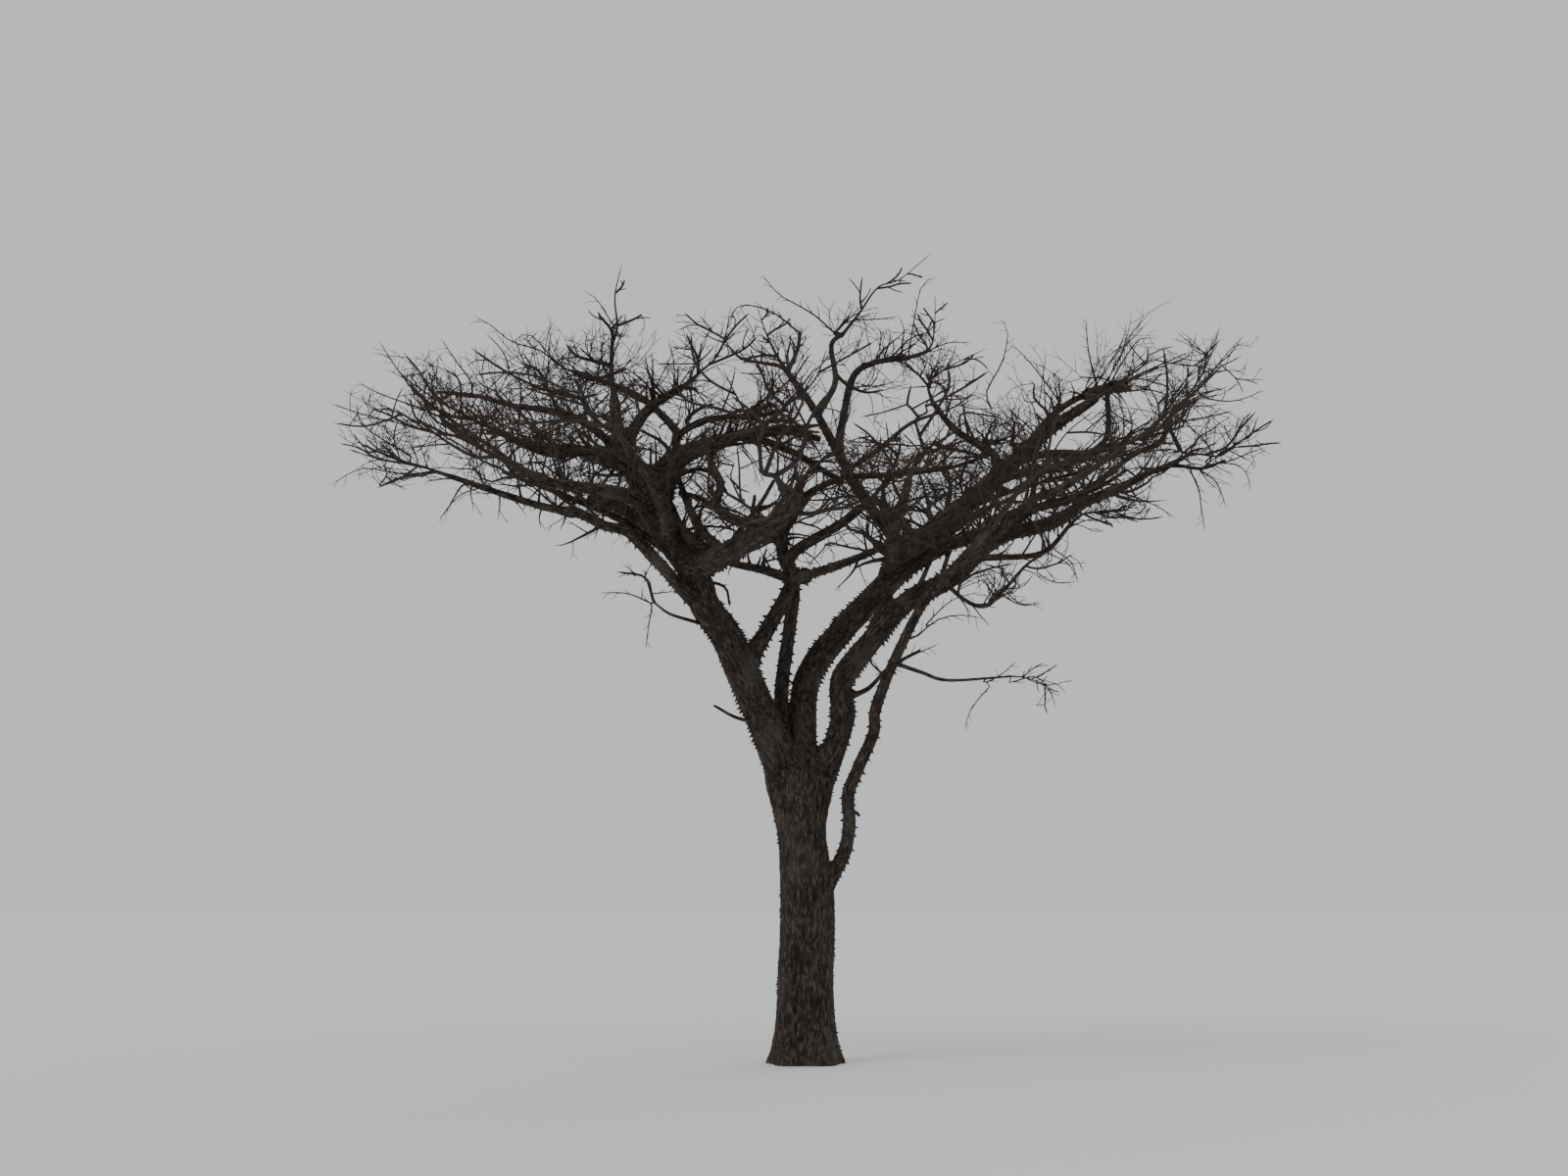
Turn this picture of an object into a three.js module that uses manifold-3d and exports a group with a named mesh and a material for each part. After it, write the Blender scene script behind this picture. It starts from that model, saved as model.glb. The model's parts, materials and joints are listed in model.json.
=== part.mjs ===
// A flat-topped acacia in its leafless season: a short thick trunk, limbs that rake out from one fork,
// and a wide, shallow crown of crooked twigs. Millimetres, +Z up, origin where the trunk meets the ground.
import * as THREE from "three";
import { mergeVertices } from "three/addons/utils/BufferGeometryUtils.js";
import Module from "manifold-3d";

const wasm = await Module();
wasm.setup();

// Driving dimensions
const cm = 10;
const trunkHeight = 3020;
const forkHeight = 2780; // the limbs part here, and the trunk's top rounds off between them
const trunkGirthRadius = 262;
const footFlare = 105; // how far the roots' tops stand out at the ground
const footFlareHeight = 230; // the height over which that flare dies away
const rootRidges = 5;
const ridgeDepth = 0.1; // as a share of the trunk's radius
const ridgeHeight = 370;
const waistHeight = 2130; // the trunk is slimmest here, under the fork
const waistPinch = 30;
const waistLength = 420;
const forkSpread = 85; // how much wider the trunk is, side to side, at the fork
const forkThinning = 73; // and how much thinner front to back
const trunkRings = [0, 90, 220, 420, 900, 1500, 2000, 2300, 2550, forkHeight, 2920, trunkHeight];
const clearance = 0.45; // the gap that each piece keeps to the piece that carries it
const stemTip = 12; // a stem's radius just before its end
const twigSides = 3;
// How many sides a limb has, by the base radius in centimetres that it is over
const limbSides = [[11, 10], [8, 8], [0, 6]];
const finestLimbStep = 180; // a limb's rings are this far apart, and farther the stouter it is

// What the limbs and twigs are drawn with
const bark = new THREE.MeshStandardMaterial({ color: 0x4a3c32, roughness: 0.95, metalness: 0 });
const limbBark = new THREE.MeshStandardMaterial({ color: 0x50443a, roughness: 0.92, metalness: 0 });
const twigBark = new THREE.MeshStandardMaterial({ color: 0x4b382d, roughness: 0.85, metalness: 0 });

// The trunk's line, in centimetres and evenly spaced: it stands straight and gives a little to the left above
// the waist.
const trunkLine = [[0, 0, 0], [0, 0, 75], [2, 0, 151], [-4, 0, 226], [-6, 0, 302]];

// Limbs, from the fork outwards. base and tip are radii and through is the line's guide points, in
// centimetres. A bough starts inside the limb that it is on, at that share of its length. fullness keeps
// a limb stout for longer before it tapers.
const limbs = [
  {
    name: "left_limb", base: 17, tip: 5.2, fullness: 2,
    through: [[-18, 0, 268], [-40, -12, 325], [-76, -36, 404], [-89, -42, 422], [-98, -45, 437],
      [-102, -46, 451], [-109, -47, 466], [-121, -46, 484], [-138, -44, 505], [-150, -40, 532],
      [-183, -20, 606], [-188, -10, 642]],
  },
  {
    name: "middle_limb", base: 13.2, tip: 4.6, fullness: 2.6,
    through: [[1, 0, 272], [-2, 8, 320], [4, 28, 373], [41, 50, 425], [93, 62, 480], [135, 68, 526],
      [187, 66, 571], [244, 50, 623], [295, 35, 656]],
  },
  {
    name: "right_limb", base: 12, tip: 3.6, fullness: 1.5,
    through: [[17, 0, 268], [36, -12, 326], [34, -20, 353], [37, -27, 367], [48, -33, 382],
      [61, -40, 397], [83, -53, 423], [101, -62, 438], [113, -66, 444], [128, -72, 450],
      [142, -78, 459], [156, -80, 472], [171, -80, 486], [193, -79, 498], [222, -74, 505],
      [246, -68, 515], [271, -58, 533], [302, -46, 547], [335, -30, 566]],
  },
  {
    name: "slender_limb", base: 7.4, tip: 3.4, fullness: 0.8,
    through: [[20, 0, 165], [38, -8, 201], [42, -15, 228], [41, -21, 254], [51, -28, 280],
      [65, -39, 312], [66, -45, 331], [76, -56, 360], [90, -68, 391], [104, -80, 419],
      [116, -112, 435], [151, -200, 469], [164, -240, 481]],
  },
  {
    name: "centre_limb", base: 7.2, tip: 4.2, fullness: 1.5,
    through: [[-22, 0, 296], [-23, 12, 357], [-15, 22, 421], [-11, 35, 462], [-21, 100, 511],
      [-42, 195, 560]],
  },
  {
    name: "diagonal_limb", on: "left_limb", at: 0.28, base: 8.6, tip: 4.2, fullness: 1,
    through: [[-40, -20, 408], [-13, -22, 460], [-14, -22, 486], [34, -20, 517], [56, -25, 534]],
  },
  {
    name: "cross_bough", on: "left_limb", at: 0.54, base: 12, tip: 4.8, fullness: 1.2,
    through: [[-88, -72, 473], [-38, -140, 490], [-12, -178, 508], [-22, -222, 514]],
  },
  {
    name: "left_low_bough", on: "left_limb", at: 0.44, base: 7, tip: 2.8, fullness: 0.9,
    through: [[-114, -62, 443], [-130, -62, 461], [-146, -60, 478], [-160, -55, 494],
      [-174, -50, 506], [-195, -42, 512], [-221, -30, 526], [-268, 0, 541], [-358, 25, 575]],
  },
  {
    name: "left_mid_bough", on: "left_limb", at: 0.67, base: 8, tip: 4, fullness: 1,
    through: [[-169, -85, 533], [-237, -145, 534], [-267, -165, 546]],
  },
  {
    name: "left_far_bough", on: "left_limb", at: 0.62, base: 7.4, tip: 4, fullness: 1,
    through: [[-150, 45, 543], [-184, 165, 594]],
  },
  {
    name: "left_front_bough", on: "left_limb", at: 0.61, base: 7.4, tip: 4, fullness: 1,
    through: [[-136, -120, 526], [-159, -215, 551]],
  },
  {
    name: "left_back_bough", on: "left_limb", at: 0.76, base: 6.6, tip: 3.6, fullness: 1,
    through: [[-181, 30, 582], [-234, 130, 618]],
  },
  {
    name: "left_inner_bough", on: "left_limb", at: 0.81, base: 6, tip: 3.4, fullness: 1,
    through: [[-197, -25, 589], [-251, -25, 587], [-297, -20, 607]],
  },
  {
    name: "left_rise_bough", on: "left_limb", at: 0.88, base: 6.4, tip: 3.4, fullness: 1,
    through: [[-153, -45, 626], [-117, -75, 642]],
  },
  {
    name: "band_bough", on: "left_limb", at: 0.67, base: 9, tip: 4.6, fullness: 1,
    through: [[-123, -85, 561], [-85, -125, 574], [-60, -145, 578]],
  },
  {
    name: "top_bough", on: "middle_limb", at: 0.52, base: 7.4, tip: 3.2, fullness: 0.9,
    through: [[84, 45, 523], [55, 25, 558], [30, 8, 601], [7, 0, 641], [-17, -15, 671]],
  },
  {
    name: "top_tall_bough", on: "top_bough", at: 0.78, base: 3.6, tip: 2.4, fullness: 1,
    through: [[23, 4, 649], [31, 5, 669], [27, 8, 705], [39, 8, 717]],
  },
  {
    name: "top_right_bough", on: "top_bough", at: 0.59, base: 4.6, tip: 2.7, fullness: 1.2,
    through: [[38, 25, 628], [49, 32, 677], [69, 38, 694], [108, 48, 703]],
  },
  {
    name: "reaching_bough", on: "diagonal_limb", at: 0.48, base: 5.4, tip: 3.2, fullness: 0.8,
    through: [[19, 20, 478], [62, 85, 504], [120, 185, 546]],
  },
  {
    name: "riser_bough", on: "middle_limb", at: 0.75, base: 5.6, tip: 3, fullness: 1,
    through: [[198, 95, 611], [161, 125, 644], [137, 130, 676]],
  },
  {
    name: "right_mid_bough", on: "middle_limb", at: 0.8, base: 4.8, tip: 3.4, fullness: 1,
    through: [[242, 15, 595], [264, -20, 587], [285, -50, 583]],
  },
  {
    name: "right_low_bough", on: "right_limb", at: 0.53, base: 4.2, tip: 2, fullness: 0.8,
    through: [[163, -100, 470], [218, -112, 473], [249, -110, 503]],
  },
  {
    name: "right_back_bough", on: "middle_limb", at: 0.56, base: 7.4, tip: 4.2, fullness: 1,
    through: [[149, 125, 536], [201, 200, 574]],
  },
  {
    name: "front_bough", on: "middle_limb", at: 0.46, base: 8, tip: 4.2, fullness: 1,
    through: [[82, -80, 488], [90, -205, 522]],
  },
  {
    name: "back_bough", on: "middle_limb", at: 0.52, base: 7.4, tip: 4.2, fullness: 1,
    through: [[109, 135, 540], [88, 230, 584]],
  },
  {
    name: "front_rim_bough", on: "right_limb", at: 0.6, base: 5.2, tip: 3.5, fullness: 1,
    through: [[206, -135, 517], [228, -155, 524], [249, -175, 534]],
  },
  {
    name: "back_rim_bough", on: "middle_limb", at: 0.73, base: 5, tip: 3.2, fullness: 1,
    through: [[229, 110, 596], [282, 145, 612]],
  },
  {
    name: "bridge_bough", on: "right_limb", at: 0.17, base: 3.4, tip: 1.4, fullness: 0.6,
    through: [[60, -24, 355], [81, -24, 376], [111, -32, 392]],
  },
  {
    name: "low_twig_bough", on: "slender_limb", at: 0.5, base: 2.3, tip: 1.1, fullness: 0.8,
    through: [[108, -75, 366], [134, -78, 358], [193, -75, 362]],
  },
  {
    name: "left_twig_bough", on: "left_limb", at: 0.38, base: 2.4, tip: 1.2, fullness: 1,
    through: [[-122, -56, 421], [-134, -60, 426], [-144, -61, 434]],
  },
  {
    name: "dead_stub", on: "left_limb", at: 0.14, base: 2.4, tip: 1.3, fullness: 1,
    through: [[-66, -28, 327], [-88, -40, 338]],
  },
];

// Masses of bare twigs. Each grows on from the tip of its bough to its reach, and fills the space round
// that stem, in centimetres: spread is the space's half width and deep its half height. narrowing slims the
// space towards the reach, and shoots is how many leave the stem.
const masses = [
  {
    name: "left_top_twigs", on: "left_limb", reach: [-183, 0, 790],
    spread: 95, deep: 75, narrowing: 0.9,
  },
  {
    name: "left_low_twigs", on: "left_low_bough", reach: [-449, 35, 610],
    spread: 84, deep: 48, narrowing: 0.3, shoots: 5,
  },
  {
    name: "left_mid_twigs", on: "left_mid_bough", reach: [-382, -212, 592],
    spread: 106, deep: 56, narrowing: 0.3, shoots: 5,
  },
  { name: "left_far_twigs", on: "left_far_bough", reach: [-250, 388, 684], spread: 122, deep: 55 },
  {
    name: "left_front_twigs", on: "left_front_bough", reach: [-226, -380, 578],
    spread: 118, deep: 52, shoots: 5,
  },
  {
    name: "left_back_twigs", on: "left_back_bough", reach: [-384, 278, 714],
    spread: 116, deep: 55, narrowing: 0.4,
  },
  {
    name: "left_inner_twigs", on: "left_inner_bough", reach: [-405, 0, 672],
    spread: 90, deep: 55, narrowing: 0.3, shoots: 5,
  },
  {
    name: "left_rise_twigs", on: "left_rise_bough", reach: [-72, -94, 704],
    spread: 88, deep: 62, narrowing: 0.5,
  },
  { name: "band_twigs", on: "band_bough", reach: [18, -225, 640], spread: 88, deep: 55 },
  { name: "cross_twigs", on: "cross_bough", reach: [-70, -388, 578], spread: 118, deep: 52, shoots: 5 },
  { name: "centre_twigs", on: "centre_limb", reach: [-98, 394, 676], spread: 124, deep: 55 },
  { name: "diagonal_twigs", on: "diagonal_limb", reach: [88, -90, 606], spread: 76, deep: 58 },
  { name: "top_twigs", on: "top_bough", reach: [-48, -22, 738], spread: 76, deep: 52, narrowing: 0.9 },
  {
    name: "top_tall_twigs", on: "top_tall_bough", reach: [127, -25, 791],
    spread: 76, deep: 55, narrowing: 0.9,
  },
  {
    name: "top_right_twigs", on: "top_right_bough", reach: [138, 88, 782],
    spread: 84, deep: 55, narrowing: 0.9,
  },
  { name: "reaching_twigs", on: "reaching_bough", reach: [206, 350, 652], spread: 100, deep: 52 },
  {
    name: "riser_twigs", on: "riser_bough", reach: [198, 140, 738],
    spread: 86, deep: 60, narrowing: 0.7,
  },
  {
    name: "middle_twigs", on: "middle_limb", reach: [372, 25, 702],
    spread: 98, deep: 52, narrowing: 0.35, shoots: 5,
  },
  {
    name: "right_mid_twigs", on: "right_mid_bough", reach: [416, -112, 684],
    spread: 95, deep: 60, narrowing: 0.3, shoots: 5,
  },
  {
    name: "right_rim_twigs", on: "right_limb", reach: [457, 5, 600],
    spread: 92, deep: 52, narrowing: 0.3, shoots: 5,
  },
  { name: "right_low_twigs", on: "right_low_bough", reach: [300, -122, 506], spread: 58, deep: 34 },
  { name: "slender_twigs", on: "slender_limb", reach: [235, -360, 552], spread: 114, deep: 52 },
  { name: "right_back_twigs", on: "right_back_bough", reach: [324, 350, 672], spread: 118, deep: 54 },
  { name: "front_twigs", on: "front_bough", reach: [108, -395, 560], spread: 114, deep: 52, shoots: 5 },
  { name: "back_twigs", on: "back_bough", reach: [58, 425, 682], spread: 118, deep: 54 },
  { name: "front_rim_twigs", on: "front_rim_bough", reach: [352, -262, 606], spread: 114, deep: 54 },
  {
    name: "back_rim_twigs", on: "back_rim_bough", reach: [426, 214, 698],
    spread: 112, deep: 56, narrowing: 0.4,
  },
  { name: "low_twigs", on: "low_twig_bough", reach: [230, -80, 346], spread: 40, deep: 36 },
];

// How the twigs branch. Each level is the shoots of the level before.
const stemStep = 290; // the stem bends about every so many millimetres
const stemSway = 0.1;
const levels = [
  { count: 4, steps: 3, reach: 0.92, lean: [0.6, 1.2], tip: 9, crook: 0.46 },
  { count: 2, steps: 2, reach: 0.52, lean: [0.6, 1.2], tip: 5, crook: 0.4 },
];
const slimming = 0.66; // a shoot's thickness where it leaves its parent, as a share of the parent's
const firstShoot = 0.08; // shoots leave from this share of their parent's length on
const shootRange = 0.86;
const golden = 0.618034;
const goldenTurn = 2.399963;
const flatten = 0.38; // shoots spread sideways more than up and down
const curl = 0.1; // how much a shoot goes on turning the way that it set out, up or down
const tries = 8;
const usualNarrowing = 0.25; // how much shorter the shoots grow towards a parent's tip
const limbGap = 4;
const spaceMargin = 16;

// Seeded numbers from 0 to 1
function seeded(seed) {
  let state = (seed % 2147483646) + 1;
  return () => {
    state = (state * 48271) % 2147483647;
    return state / 2147483647;
  };
}

const point = ([x, y, z]) => new THREE.Vector3(x, y, z).multiplyScalar(cm);
const curveThrough = (points) => new THREE.CatmullRomCurve3(points, false, "catmullrom", 0.5);

// The point at a share of a polyline's points, and the way it runs there
function along(points, share) {
  const place = share * (points.length - 1);
  const index = Math.min(Math.floor(place), points.length - 2);
  const at = points[index].clone().lerp(points[index + 1], place - index);
  return { at, way: points[index + 1].clone().sub(points[index]).normalize() };
}

// A tapering tube along a line: a unit cylinder whose rings are set on the line. A radius of 0 at the end
// is a point. section stretches a ring by height and angle, and setOut is the way that the first ring faces.
function tube(points, radii, sides, section, setOut) {
  const last = points.length - 1;
  const geometry = new THREE.CylinderGeometry(radii[last] === 0 ? 0 : 1, 1, 1, sides, last);
  geometry.deleteAttribute("normal");
  geometry.deleteAttribute("uv");
  let across = new THREE.Vector3(0, 1, 0);
  const frames = points.map((p, i) => {
    const around = points[Math.min(i + 1, last)].clone().sub(points[Math.max(i - 1, 0)]).normalize();
    const way = i === 0 && setOut ? setOut : around;
    across = across.clone().addScaledVector(way, -across.dot(way)).normalize();
    return [across, new THREE.Vector3().crossVectors(way, across)];
  });
  const spots = geometry.getAttribute("position");
  for (let i = 0; i < spots.count; i++) {
    const ring = Math.round((spots.getY(i) + 0.5) * last);
    const onAxis = Math.hypot(spots.getX(i), spots.getZ(i)) < 1e-3 || radii[ring] === 0;
    const angle = Math.atan2(spots.getX(i), spots.getZ(i));
    const [wide, deep] = section ? section(points[ring].z, angle) : [1, 1];
    const place = points[ring].clone();
    if (!onAxis) {
      place.addScaledVector(frames[ring][1], Math.sin(angle) * radii[ring] * wide);
      place.addScaledVector(frames[ring][0], Math.cos(angle) * radii[ring] * deep);
    }
    spots.setXYZ(i, place.x, place.y, place.z);
  }
  return solid(geometry);
}

function solid(geometry) {
  const merged = mergeVertices(geometry, 1e-3);
  return new wasm.Manifold(
    new wasm.Mesh({
      numProp: 3,
      vertProperties: new Float32Array(merged.getAttribute("position").array),
      triVerts: new Uint32Array(merged.index.array),
    }),
  );
}

function meshOf(name, body, material) {
  const { vertProperties, triVerts } = body.getMesh();
  const geometry = new THREE.BufferGeometry();
  geometry.setAttribute("position", new THREE.BufferAttribute(vertProperties, 3));
  geometry.setIndex(new THREE.BufferAttribute(triVerts, 1));
  geometry.computeVertexNormals();
  const mesh = new THREE.Mesh(geometry, material);
  mesh.name = name;
  return mesh;
}

function trunkRadius(height) {
  const flare = footFlare * Math.exp(-height / footFlareHeight);
  const pinch = waistPinch * Math.exp(-(((height - waistHeight) / waistLength) ** 2));
  return trunkGirthRadius + flare - pinch;
}

// The trunk isn't round: low ridges run down into the root flare, it widens side to side and thins front to
// back into the fork, and it rounds off above that.
function trunkSection(height, angle) {
  const fork = THREE.MathUtils.smoothstep(height, waistHeight, forkHeight);
  const rounding = THREE.MathUtils.smoothstep(height, forkHeight, trunkHeight);
  const ridge = ridgeDepth * Math.exp(-height / ridgeHeight) * Math.cos(rootRidges * angle);
  const wide = 1 + ridge + (forkSpread / trunkGirthRadius) * fork;
  const deep = 1 + ridge - (forkThinning / trunkGirthRadius) * fork;
  return [wide * (1 - 0.25 * rounding), deep * (1 - 0.4 * rounding)];
}

// extra makes a copy that is larger all over, to cut the limbs clear with
function trunkTube(extra) {
  const curve = curveThrough(trunkLine.map(point));
  const points = trunkRings.map((height) => {
    const near = curve.getPoint(height / trunkHeight);
    return new THREE.Vector3(near.x, near.y, height);
  });
  points[points.length - 1].z += extra;
  const radii = trunkRings.map((height) => trunkRadius(height) + extra);
  return tube(points, radii, rootRidges * 3, trunkSection);
}

function limbLine(limb) {
  const guides = limb.through.map(point);
  if (limb.on) {
    guides.unshift(limbs.find((one) => one.name === limb.on).curve.getPointAt(limb.at));
  }
  limb.curve = curveThrough(guides);
  const steps = Math.round(limb.curve.getLength() / (finestLimbStep + limb.base * 22));
  return limb.curve.getSpacedPoints(THREE.MathUtils.clamp(steps, 4, 14));
}

function limbRadii(limb, count) {
  const taper = (share) => limb.base + (limb.tip - limb.base) * share ** limb.fullness;
  return Array.from({ length: count }, (_, i) => taper(i / (count - 1)) * cm);
}

const largest = (body) => body.decompose().sort((a, b) => b.volume() - a.volume())[0];

// Each limb is cut clear of the trunk and of the limbs before it, and its largest part is kept.
function buildLimbs() {
  const built = [{ name: "trunk", body: trunkTube(0), grown: trunkTube(clearance * 1.4) }];
  for (const limb of limbs) {
    limb.points = limbLine(limb);
    limb.radii = limbRadii(limb, limb.points.length);
    const sides = limbSides.find(([stoutness]) => limb.base > stoutness)[1];
    const grow = clearance / Math.cos(Math.PI / sides);
    let body = tube(limb.points, limb.radii, sides);
    for (const other of built) {
      body = body.subtract(other.grown);
    }
    const grown = tube(limb.points, limb.radii.map((r) => r + grow), sides);
    built.push({ name: limb.name, body: largest(body), grown });
  }
  return built;
}

// The shortest way between two stretches of line
function gapBetween(a, b, c, d) {
  const u = b.clone().sub(a);
  const v = d.clone().sub(c);
  const w = a.clone().sub(c);
  const [uu, uv, vv, uw, vw] = [u.dot(u), u.dot(v), v.dot(v), u.dot(w), v.dot(w)];
  const slant = uu * vv - uv * uv;
  let s = slant > 1e-9 ? THREE.MathUtils.clamp((uv * vw - vv * uw) / slant, 0, 1) : 0;
  const t = THREE.MathUtils.clamp((uv * s + vw) / vv, 0, 1);
  s = THREE.MathUtils.clamp((uv * t - uw) / uu, 0, 1);
  return w.addScaledVector(u, s).addScaledVector(v, -t).length();
}

function touchesLimb(a, b, radius) {
  return limbs.some((limb) =>
    limb.points.some((p, i) => {
      const next = limb.points[i + 1];
      return next && gapBetween(a, b, p, next) < limb.radii[i] + radius + limbGap;
    }),
  );
}

function distanceToLine(p, points) {
  const nearest = new THREE.Vector3();
  const gaps = points.slice(1).map((q, i) => {
    new THREE.Line3(points[i], q).closestPointToPoint(p, true, nearest);
    return nearest.distanceTo(p);
  });
  return Math.min(...gaps);
}

// True where a point is in the mass's own space and nearer to its stem than to any other
function inSpace(mass, p) {
  const line = new THREE.Line3(mass.stem[0], mass.stem.at(-1));
  const share = line.closestPointToPointParameter(p, true);
  const off = p.clone().sub(line.at(share, new THREE.Vector3()));
  const slim = 1 - (mass.narrowing ?? usualNarrowing) * share;
  const wide = mass.spread * cm * slim;
  const deep = mass.deep * cm * slim;
  if ((off.x ** 2 + off.y ** 2) / wide ** 2 + off.z ** 2 / deep ** 2 > 1) {
    return false;
  }
  const own = distanceToLine(p, mass.stem) + spaceMargin;
  return masses.every((other) => other === mass || distanceToLine(p, other.stem) > own);
}

// A mass's stem goes on the way its bough ends and bends over, a little crookedly, to its reach.
function stemLine(mass, seed) {
  const { points } = limbs.find((limb) => limb.name === mass.on);
  const tip = points.at(-1);
  const way = tip.clone().sub(points.at(-2)).normalize();
  const end = point(mass.reach);
  const length = tip.distanceTo(end);
  const bend = tip.clone().addScaledVector(way, length * 0.45);
  const steps = Math.max(3, Math.round(length / stemStep));
  const random = seeded(seed);
  const start = tip.clone().addScaledVector(way, clearance);
  mass.way = way;
  return Array.from({ length: steps + 1 }, (_, i) => {
    const t = i / steps;
    const on = start.clone().multiplyScalar((1 - t) ** 2);
    on.addScaledVector(bend, 2 * t * (1 - t)).addScaledVector(end, t * t);
    const sway = new THREE.Vector3(random() - 0.5, random() - 0.5, random() - 0.5);
    return on.addScaledVector(sway, i > 1 && i < steps ? length * stemSway : 0);
  });
}

// A shoot that sets out sideways from its parent and goes on crookedly. Its seed is its own, so that
// adding finer shoots changes no coarser one.
function shootLine(parent, index, level, seed, turn) {
  const random = seeded(seed);
  const share = firstShoot + shootRange * (((index + 1) * golden) % 1);
  const { at, way } = along(parent.points, share);
  const side = new THREE.Vector3().crossVectors(way, new THREE.Vector3(0, 0, 1)).normalize();
  const above = new THREE.Vector3().crossVectors(side, way);
  const roll = index * goldenTurn + turn + (random() - 0.5);
  const lean = THREE.MathUtils.lerp(...level.lean, random());
  const heading = way.clone().multiplyScalar(Math.cos(lean));
  heading.addScaledVector(side, Math.sin(lean) * Math.cos(roll));
  heading.addScaledVector(above, Math.sin(lean) * Math.sin(roll));
  heading.z *= flatten;
  heading.normalize();
  const rise = Math.sign(heading.z) * curl;
  const length = parent.room * (1 - parent.narrowing * share) * level.reach * (0.75 + 0.5 * random());
  const points = [at];
  for (let i = 0; i < level.steps; i++) {
    heading.x += level.crook * (random() - 0.5) * 2;
    heading.y += level.crook * (random() - 0.5) * 2;
    heading.z += level.crook * (random() - 0.5) * 1.4 + rise;
    heading.normalize();
    points.push(points[i].clone().addScaledVector(heading, length / level.steps));
  }
  const here = THREE.MathUtils.lerp(parent.radii[0], parent.radii.at(-1), share);
  return { points, base: here * slimming, room: length, narrowing: usualNarrowing };
}

const crosses = (a, b, radius, other) =>
  other.points.slice(1).some((q, i) => gapBetween(a, b, other.points[i], q) < radius + other.radii[i]);

function fits(mass, shoot, parent, kept) {
  const others = kept.filter((one) => one !== parent);
  return shoot.points.slice(1).every((p, i) => {
    const from = shoot.points[i];
    const within = inSpace(mass, p) && inSpace(mass, from.clone().lerp(p, 0.5));
    const offParent = i === 0 || !crosses(from, p, shoot.base, parent);
    const offOthers = !others.some((other) => crosses(from, p, shoot.base, other));
    return within && offParent && offOthers && !touchesLimb(from, p, shoot.base);
  });
}

// All the shoots of a mass, each followed by its own. A shoot that leaves the space, or touches a limb or
// another shoot, is tried again with another heading, and skipped after a few tries.
function growShoots(mass, parent, depth, seed, kept) {
  const level = levels[depth];
  if (!level) {
    return;
  }
  const count = depth === 0 ? (mass.shoots ?? level.count) : level.count;
  for (let index = 0; index < count; index++) {
    for (let attempt = 0; attempt < tries; attempt++) {
      const own = (seed * 1009 + index * 9176 + attempt * 733 + 1) % 2147483647;
      const shoot = shootLine(parent, index, level, own, attempt * 1.3);
      if (!fits(mass, shoot, parent, kept)) {
        continue;
      }
      const tip = Math.min(level.tip, shoot.base * 0.8);
      shoot.radii = shoot.points.map((_, i) => shoot.base + (tip - shoot.base) * (i / level.steps));
      kept.push(shoot);
      growShoots(mass, shoot, depth + 1, own, kept);
      break;
    }
  }
}

function twigBody(shoot) {
  const radii = [...shoot.radii];
  radii[radii.length - 1] = 0;
  return tube(shoot.points, radii, twigSides, null, shoot.setOut);
}

function buildMass(mass, seed) {
  const limb = limbs.find((one) => one.name === mass.on);
  const steps = mass.stem.length - 1;
  const base = limb.tip * cm * 0.92;
  const stem = {
    points: mass.stem,
    radii: mass.stem.map((_, i) => base + (stemTip - base) * (i / steps) ** 0.8),
    room: mass.spread * cm,
    narrowing: mass.narrowing ?? usualNarrowing,
    setOut: mass.way,
  };
  const kept = [stem];
  growShoots(mass, stem, 0, seed, kept);
  return largest(wasm.Manifold.union(kept.map(twigBody)));
}

const tree = new THREE.Group();
tree.name = "acacia_tree";
for (const { name, body } of buildLimbs()) {
  tree.add(meshOf(name, body, name === "trunk" ? bark : limbBark));
}
masses.forEach((mass, i) => {
  mass.stem = stemLine(mass, 101 + i * 17);
});
masses.forEach((mass, i) => {
  tree.add(meshOf(mass.name, buildMass(mass, 5003 + i * 211), twigBark));
});

export default tree;
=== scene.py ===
# A bare, flat-topped acacia: bark skin over the trunk and boughs, woody prickles, and a crown of fine twigs
import json
import math
import bpy
import bmesh
import numpy as np
from mathutils import Matrix, Vector, noise
from mathutils.bvhtree import BVHTree

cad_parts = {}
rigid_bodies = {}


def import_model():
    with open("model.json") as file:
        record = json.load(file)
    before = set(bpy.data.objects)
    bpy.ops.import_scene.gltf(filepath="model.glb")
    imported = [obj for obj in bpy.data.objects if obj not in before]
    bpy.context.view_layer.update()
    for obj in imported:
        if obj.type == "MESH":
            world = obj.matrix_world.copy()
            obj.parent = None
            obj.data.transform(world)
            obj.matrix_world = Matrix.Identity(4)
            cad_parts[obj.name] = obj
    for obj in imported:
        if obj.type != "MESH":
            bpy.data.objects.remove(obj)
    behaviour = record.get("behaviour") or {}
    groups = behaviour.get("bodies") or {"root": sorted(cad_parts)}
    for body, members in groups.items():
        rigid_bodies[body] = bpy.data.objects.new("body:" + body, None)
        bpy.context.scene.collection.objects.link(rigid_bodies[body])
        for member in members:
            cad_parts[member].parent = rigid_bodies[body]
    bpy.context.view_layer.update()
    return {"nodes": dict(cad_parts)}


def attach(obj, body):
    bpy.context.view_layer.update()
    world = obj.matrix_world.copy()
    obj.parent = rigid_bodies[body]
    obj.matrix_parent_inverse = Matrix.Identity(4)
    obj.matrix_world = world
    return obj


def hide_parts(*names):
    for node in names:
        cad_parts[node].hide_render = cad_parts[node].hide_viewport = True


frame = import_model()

cm = 0.01
up = np.array([0.0, 0.0, 1.0])

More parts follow.
